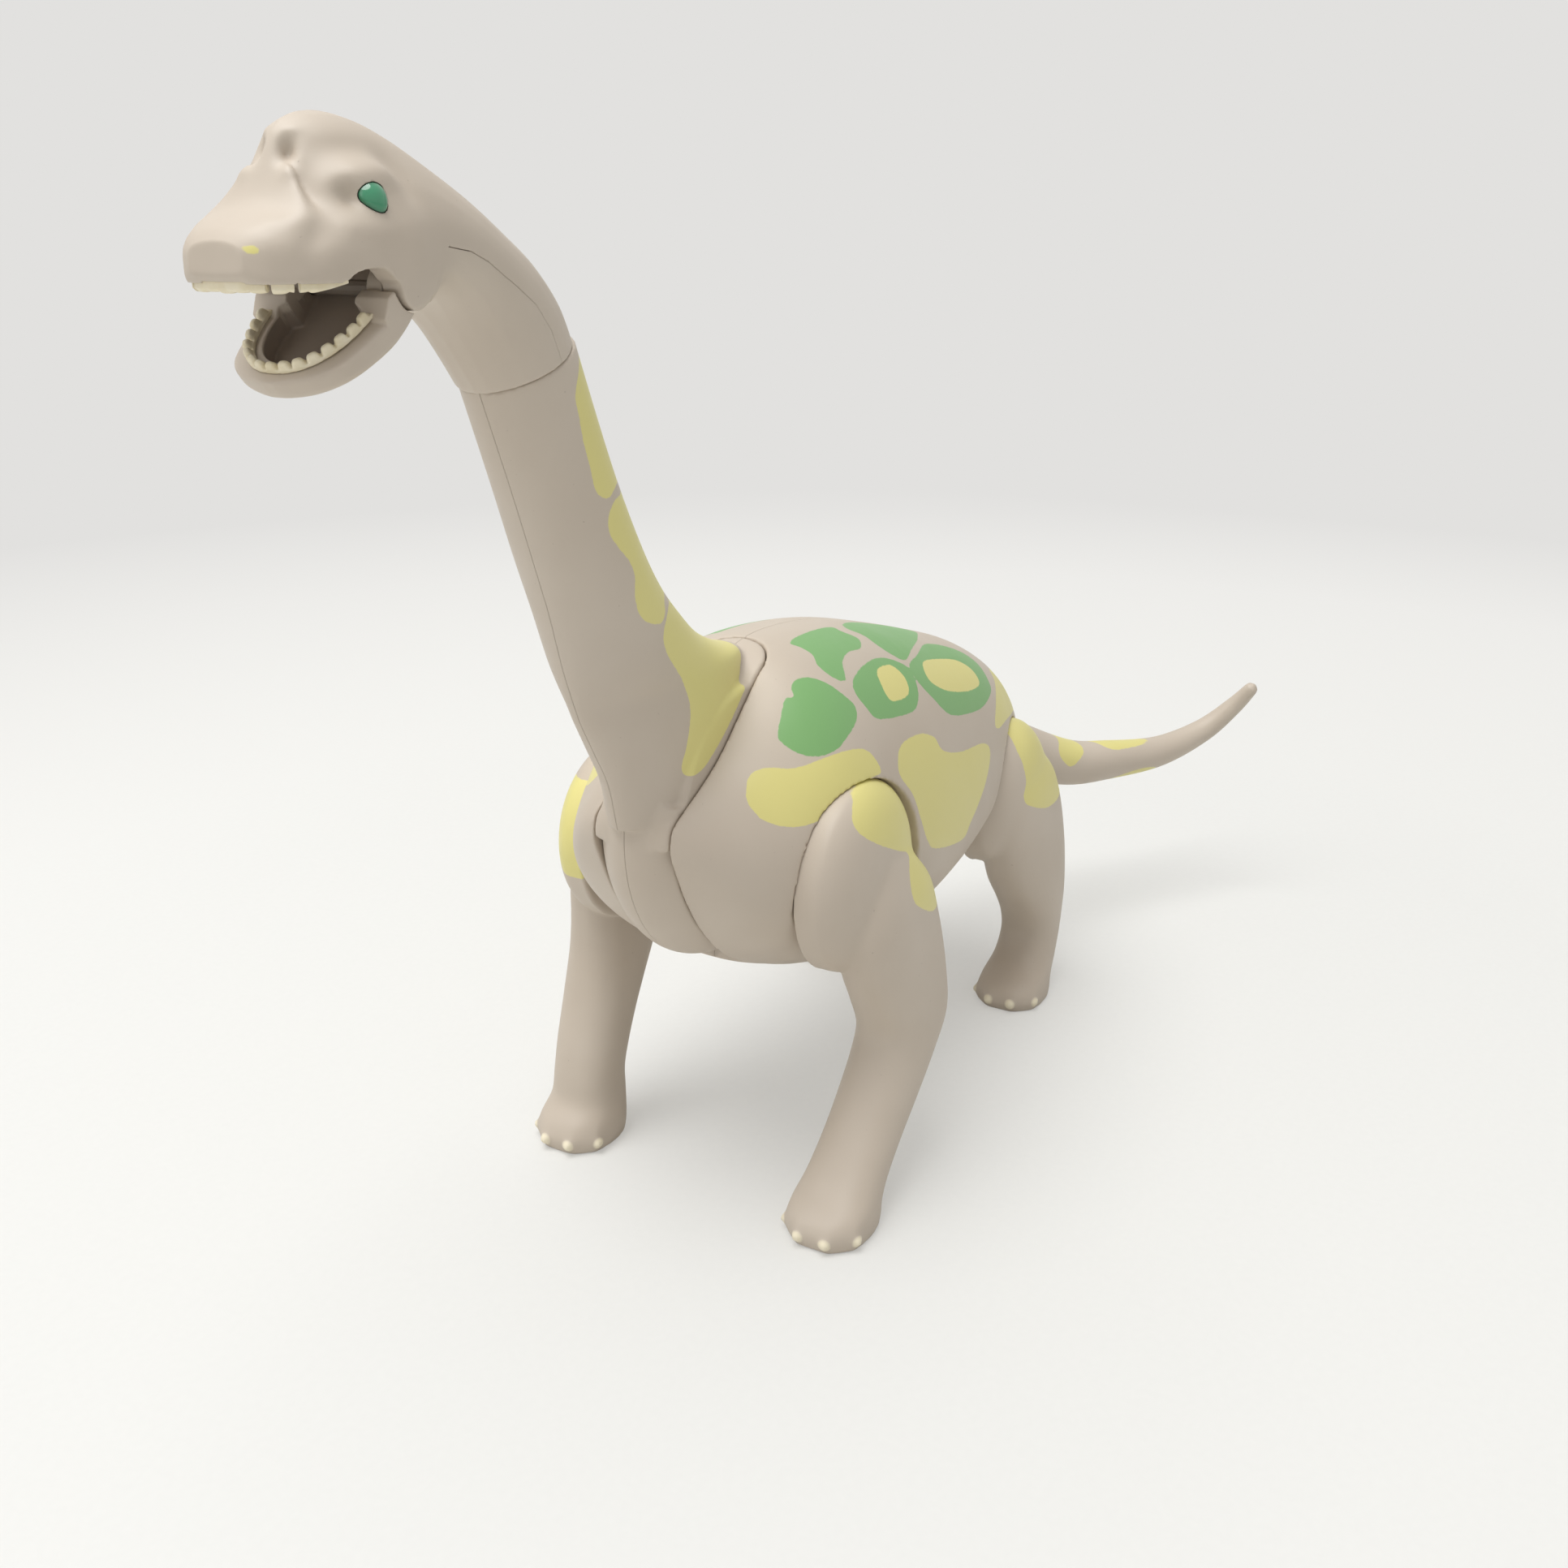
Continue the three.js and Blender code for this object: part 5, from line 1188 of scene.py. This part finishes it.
def band(name, plan, outer, inner, low, high, root_x):
    outside = [tuple(p) for p in plan(outer) if p[0] > root_x]
    inside = [tuple(p) for p in plan(inner) if p[0] > root_x][::-1]
    outline = [(root_x, outside[0][1]), *outside, (root_x, outside[-1][1]),
               (root_x, inside[0][1]), *inside, (root_x, inside[-1][1])]
    return prism(name, outline, "Z", low, high)


class DINO_OT_teeth(bpy.types.Operator):
    """Makes the upper strip of teeth and the lower row of rounded teeth on its gum"""
    bl_idname = "dino.teeth"
    bl_label = "Teeth"

    def execute(self, context):
        voxel = TOOTH_GRAIN * context.scene.dino_sizes.jaw_voxel
        self.upper(voxel)
        self.lower(voxel)
        return {"FINISHED"}

    def tooth(self, boxiness, size, taper, place):
        """A round-cornered block, narrower at its upper end by a share, at a place."""
        block = ball((0, 0, 0), (1, 1, 1), segments=24, rings=16)
        co = rounded(points_of(block), boxiness) * np.array(size)
        co[:, :2] *= 1 - taper * co[:, 2:3] / size[2]
        set_points(block, co)
        block.data.transform(place)
        return block

    def upper(self, voxel):
        inset, width = UPPER_TEETH["inset"], UPPER_TEETH["width"]
        top, low = LIP_Z + UPPER_TEETH["up"], LIP_Z - UPPER_TEETH["down"]
        rear_x = MOUTH_CORNER_X - 2.2
        parts = [band("upper", muzzle_plan, inset, inset + width, low + 0.5, top, rear_x)]
        plan = muzzle_plan(inset + width / 2)
        for k, (spot, angle) in enumerate(along_plan(plan, rear_x, UPPER_TEETH["count"])):
            place = Matrix.Translation((*spot, low + 1.05)) @ Matrix.Rotation(angle, 4, "Z")
            height = UPPER_TEETH["height"] + UPPER_TEETH["uneven"] * math.sin(2.4 * k)
            parts.append(self.tooth(UPPER_TEETH["boxiness"], (width / 2, UPPER_TEETH["depth"], height), 0.0,
                                    place))
        body = joined("upper", parts)
        even_out(body, voxel, 1)
        # The row thins out towards the corner of the mouth, where the lip arches up
        wedge = [(rear_x - 1, low - 1), (rear_x + 8.0, low - 1), (rear_x + 7.0, low),
                 (rear_x - 1, LIP_Z + 0.2)]
        carve(body, prism("wedge", wedge, "Y", -FAR, FAR))
        edge = muzzle_plan(inset)
        for degrees in TOOTH_SLOTS:
            for side in (1, -1):
                spot, angle = plan_spot(edge, MUZZLE_ROOT_X, side * math.radians(degrees))
                slot = brick((-SLOT_REACH, -SLOT_HALF, low - 1), (SLOT_REACH, SLOT_HALF, LIP_Z + 0.3))
                slot.data.transform(Matrix.Translation((*spot, 0)) @ Matrix.Rotation(angle, 4, "Z"))
                carve(body, slot)
        settle(body, "teeth_upper", "head", ["upper_teeth"], "tooth")

    def lower(self, voxel):
        width, lean = LOWER_TEETH["width"], LOWER_TEETH["lean"]
        size = (width / 2, LOWER_TEETH["depth"], LOWER_TEETH["height"])
        gum_z = JAW_HINGE[2] + JAW_RIM_RISE
        root_x = JAW_HINGE[0] + TOOTH_ROW[0] + 0.6
        parts = [band("lower", tooth_row, -width / 2, width / 2, gum_z + GAP / 2, gum_z + 0.8, root_x)]
        for k, (spot, angle) in enumerate(along_plan(tooth_row(0), root_x, LOWER_TEETH["count"])):
            leaning = Matrix.Rotation(lean + lean * math.sin(1.9 * k), 4, "Y")
            place = Matrix.Translation((*spot, gum_z + 0.2)) @ Matrix.Rotation(angle, 4, "Z") @ leaning
            parts.append(self.tooth(LOWER_TEETH["boxiness"], size, LOWER_TEETH["taper"], place))
        body = joined("lower", parts)
        even_out(body, voxel, 2)
        carve(body, brick((-FAR, -FAR, -FAR), (FAR, FAR, gum_z + GAP / 2)))
        swing_open(body)
        settle(body, "teeth_lower", "jaw", ["lower_teeth"], "tooth")


class DINO_OT_legs(bpy.types.Operator):
    """Makes the four legs, each with its hub, its foot and four painted claws"""
    bl_idname = "dino.legs"
    bl_label = "Legs"

    def execute(self, context):
        sizes = context.scene.dino_sizes
        for place, hub, tables, prints in (
                ("front", FRONT_HUB, (FRONT_LEG, STRAIGHT_LEG), (FRONT_LEG_YELLOW, STRAIGHT_LEG_YELLOW)),
                ("hind", HIND_HUB, (HIND_LEG, HIND_LEG), (HIND_LEG_YELLOW, HIND_LEG_YELLOW))):
            for side, table, yellow in zip(("left", "right"), tables, prints):
                leg = self.leg(hub, table, sizes)
                store(leg, "claw", self.claws(points_of(leg), hub, table))
                print_markings(leg, side_view(points_of(leg)), (), yellow)
                if side == "right":
                    flip(leg)
                settle(leg, f"leg_{place}_{side}", f"{place}_{side}_limb", [f"{place}_{side}_leg"], "skin")
        return {"FINISHED"}

    def claws(self, co, hub, table):
        """How much of each point is claw."""
        claw = np.zeros(len(co))
        for spot, turn in claw_places(hub, table):
            turned = [[math.cos(turn), -math.sin(turn), 0], [math.sin(turn), math.cos(turn), 0], [0, 0, 1]]
            local = (co - spot) @ np.array(turned)
            near = np.exp(-np.sum((local / CLAW_PAINT) ** 2, axis=1))
            claw = np.maximum(claw, near * step_between(local[:, 0], -0.6, 0.6))
        return claw

    def leg(self, hub, table, sizes):
        limb = limb_skin(hub, table)
        carve(limb, *torso_swept(hub))
        claws = [ball(spot, (CLAW_SIZE[0], CLAW_SIZE[1], CLAW_SIZE[1]), (0, 0, turn))
                 for spot, turn in claw_places(hub, table)]
        leg = joined("leg", [limb, hub_form(hub), *claws])
        even_out(leg, sizes.body_voxel, 2)
        # The limb melts into the lower part of its hub
        co = points_of(leg)
        away = np.hypot(co[:, 0] - hub["x"], co[:, 2] - hub["z"])
        outer = step_between(co[:, 1], hub["inner"] + 9, hub["inner"] + 12)
        low = 1 - step_between(co[:, 2], hub["z"] + 4, hub["z"] + 16)
        near = step_between(co[:, 2], 34, 52) * (1 - step_between(away, 60, 70))
        relax(leg, outer * low * near, LEG_PASSES)
        carve(leg, brick((-FAR, -FAR, -FAR), (FAR, FAR, 0)),
              across(hub["x"], hub["z"], AXLE_HOLE, hub["inner"] - 1, hub["inner"] + LEG_PIN_DEPTH, 32))
        even_out(leg, sizes.body_voxel, 1, TRIANGLES["leg"])
        co = points_of(leg)
        co[:, 2] = np.maximum(co[:, 2], 0)
        set_points(leg, co)
        return leg


class DINO_OT_tail(bpy.types.Operator):
    """Makes the tapered tail with its blunt tip"""
    bl_idname = "dino.tail"
    bl_label = "Tail"

    def execute(self, context):
        sizes = context.scene.dino_sizes
        rows, around = 120, 56
        spots, ways = tail_line(rows)
        share = np.linspace(0, 1, rows)
        wide, thin = TAIL_RADII
        radius = thin + (wide - thin) * (1 - share) ** TAIL_TAPER
        radius *= np.sqrt(np.clip(1 - ((share - TAIL_TIP) / 0.0155).clip(0) ** 2, 0.02, 1))
        side = np.cross((0, 0, 1), ways)
        side /= np.linalg.norm(side, axis=1)[:, None]
        up = np.cross(ways, side)
        angle = ring_angles(around)
        rings = spots[:, None, :] + radius[:, None, None] * (
            side[:, None, :] * np.cos(angle)[None, :, None] + up[:, None, :] * np.sin(angle)[None, :, None])
        body = loft("tail", rings)
        start, end = RUMP_X - TAIL_PIN_DEPTH, RUMP_X + RUN_OUT
        carve(body, round_bar((start, 0, TAIL_ROOT_Z), (end, 0, TAIL_ROOT_Z), TAIL_PIN_HOLE, 48))
        even_out(body, sizes.head_voxel, 2, TRIANGLES["tail"])
        print_markings(body, side_view(points_of(body)), (), TAIL_YELLOW)
        settle(body, "tail_body", "tail", ["tail"], "skin")
        return {"FINISHED"}


CAMERA_AT = np.array([352.0, 228.0, 283.0])
HEADING, PITCH = 29.4, 20.0


class DINO_OT_stage(bpy.types.Operator):
    """Makes the pale floor, the soft lights and the camera"""
    bl_idname = "dino.stage"
    bl_label = "Floor, lights and camera"

    def execute(self, context):
        stage = context.scene.dino_stage
        clear_selection()
        heading = math.radians(HEADING)
        bpy.ops.mesh.primitive_plane_add(size=6, location=SHIFT / 1000)
        floor = bpy.context.object
        floor.name = "paper_sweep"
        bpy.ops.transform.rotate(value=-heading, orient_axis="Z", center_override=SHIFT / 1000)
        bpy.ops.object.transform_apply(location=True, rotation=True, scale=True)
        self.curve_up(floor, heading)
        floor.data.materials.append(self.floor_material())
        self.world(stage)
        centre = Vector((SHIFT / 1000) + np.array([-0.06, 0.0, 0.12]))
        self.lamp("top_light", centre + Vector((0.5, -0.28, 1.96)), centre, 1.8, stage.top_power)
        self.lamp("side_light", centre + Vector((1.2, -0.7, 0.8)), centre, 1.2, stage.side_power)
        self.camera(stage)
        context.scene.view_settings.view_transform = "Standard"
        return {"FINISHED"}

    def curve_up(self, floor, heading):
        """Subdivides the sheet and bends its far part up behind the figure."""
        edit_all(floor, bpy.ops.mesh.subdivide, number_cuts=90)
        co = points_of(floor)
        away = -(co - SHIFT / 1000) @ np.array([math.cos(heading), math.sin(heading), 0])
        radius, start = 0.9, 1.1
        turn = np.clip((away - start) / radius, 0, math.pi / 2)
        past = np.clip(away - start - radius * math.pi / 2, 0, None)
        back = np.where(away > start, start + radius * np.sin(turn), away)
        co[:, :2] += np.outer(away - back, (math.cos(heading), math.sin(heading)))
        co[:, 2] = np.where(away > start, radius * (1 - np.cos(turn)) + past, 0)
        set_points(floor, co)
        only(floor)
        bpy.ops.object.shade_smooth()

    def floor_material(self):
        """A sweep of matt white paper: it takes the soft shadow near the figure, and beyond it the camera
        sees a glow with painted shade farther off.
        """
        tree, where = start_material("floor")
        fibre = clouds(tree, where, 400.0, 0.3, 0.7)
        colour = layered(tree, linear(0xE0E0DD), [(fibre, linear(0xDEDEDB))])
        paper = add(tree, "BsdfPrincipled", {"Base Color": colour, "Roughness": 0.9})
        middle = tuple(SHIFT / 1000 + np.array([-0.1, 0.0, 0.0]))
        centred = add(tree, "VectorMath", {0: where, 1: middle}, operation="SUBTRACT")
        distance = add(tree, "VectorMath", {0: centred}, "Value", operation="LENGTH")
        # The glow's tone is painted darker farther from the figure, as painted shade of the far sweep
        far = add(tree, "MapRange", {"Value": distance, "From Min": 0.40, "From Max": 1.15})
        tone = layered(tree, linear(0xFAF9F5), [(far, linear(0xE2E1DF))])
        even = add(tree, "Emission", {"Color": tone})
        # Near the figure a 0.35 share of the glow still shows, painted light that makes the floor's shadow
        # paler
        beyond = add(tree, "MapRange", {"Value": distance, "From Min": 0.30, "From Max": 0.80,
                                        "To Min": 0.35})
        seen = add(tree, "LightPath", {}, "Is Camera Ray")
        share = add(tree, "Math", {0: beyond, 1: seen}, operation="MULTIPLY")
        mix = add(tree, "MixShader", {0: share, 1: paper, 2: even})
        add(tree, "OutputMaterial", {"Surface": mix})
        return bpy.data.materials[MATERIALS["floor"]]

    def world(self, stage):
        """A pale room that lights the figure softly and looks even behind it."""
        world = bpy.data.worlds.new("pale_room")
        bpy.context.scene.world = world
        tree = empty_tree(world)
        seen = 0.0
        for ray in ("Is Camera Ray", "Is Glossy Ray", "Is Transmission Ray"):
            is_ray = add(tree, "LightPath", {}, ray)
            seen = add(tree, "Math", {0: seen, 1: is_ray}, operation="MAXIMUM")
        strength = add(tree, "MapRange", {"Value": seen, "To Min": stage.room, "To Max": 0.86})
        back = add(tree, "Background", {"Color": (1, 0.995, 0.985, 1), "Strength": strength})
        add(tree, "OutputWorld", {"Surface": back})

    def lamp(self, name, place, target, size, power):
        data = bpy.data.lights.new(name, "AREA")
        data.shape, data.size, data.energy = "DISK", size, power
        lamp = bpy.data.objects.new(name, data)
        bpy.context.scene.collection.objects.link(lamp)
        lamp.location = place
        lamp.rotation_euler = (target - place).to_track_quat("-Z", "Y").to_euler()

    def camera(self, stage):
        data = bpy.data.cameras.new("photo_camera")
        data.lens, data.sensor_width = stage.focal, 36.0
        data.clip_start, data.clip_end = 0.01, 50
        camera = bpy.data.objects.new("photo_camera", data)
        bpy.context.scene.collection.objects.link(camera)
        heading, pitch = math.radians(HEADING), math.radians(PITCH)
        way = Vector((-math.cos(heading) * math.cos(pitch), -math.sin(heading) * math.cos(pitch),
                      -math.sin(pitch)))
        camera.location = Vector((CAMERA_AT + SHIFT) / 1000)
        camera.rotation_euler = way.to_track_quat("-Z", "Y").to_euler()
        bpy.context.scene.camera = camera


OPERATORS = (DINO_OT_materials, DINO_OT_torso, DINO_OT_neck, DINO_OT_head, DINO_OT_eyes, DINO_OT_jaw,
             DINO_OT_teeth, DINO_OT_legs, DINO_OT_tail, DINO_OT_stage)


class DINO_PT_panel(bpy.types.Panel):
    bl_label = "Toy dinosaur"
    bl_idname = "DINO_PT_panel"
    bl_space_type = "VIEW_3D"
    bl_region_type = "UI"
    bl_category = "Dinosaur"

    def draw(self, context):
        for group in (context.scene.dino_looks, context.scene.dino_sizes, context.scene.dino_stage):
            column = self.layout.column()
            for name in group.__annotations__:
                column.prop(group, name)
        for operator in OPERATORS:
            self.layout.operator(operator.bl_idname)


GROUPS = {"dino_looks": DinoLooks, "dino_sizes": DinoSizes, "dino_stage": DinoStage}


def register():
    for kind in (*GROUPS.values(), *OPERATORS, DINO_PT_panel):
        bpy.utils.register_class(kind)
    for name, kind in GROUPS.items():
        setattr(bpy.types.Scene, name, bpy.props.PointerProperty(type=kind))


def unregister():
    for name in GROUPS:
        delattr(bpy.types.Scene, name)
    for kind in (DINO_PT_panel, *OPERATORS[::-1], *list(GROUPS.values())[::-1]):
        bpy.utils.unregister_class(kind)


def main():
    register()
    for operator in OPERATORS:
        space, name = operator.bl_idname.split(".")
        getattr(getattr(bpy.ops, space), name)()


if __name__ == "__main__":
    main()
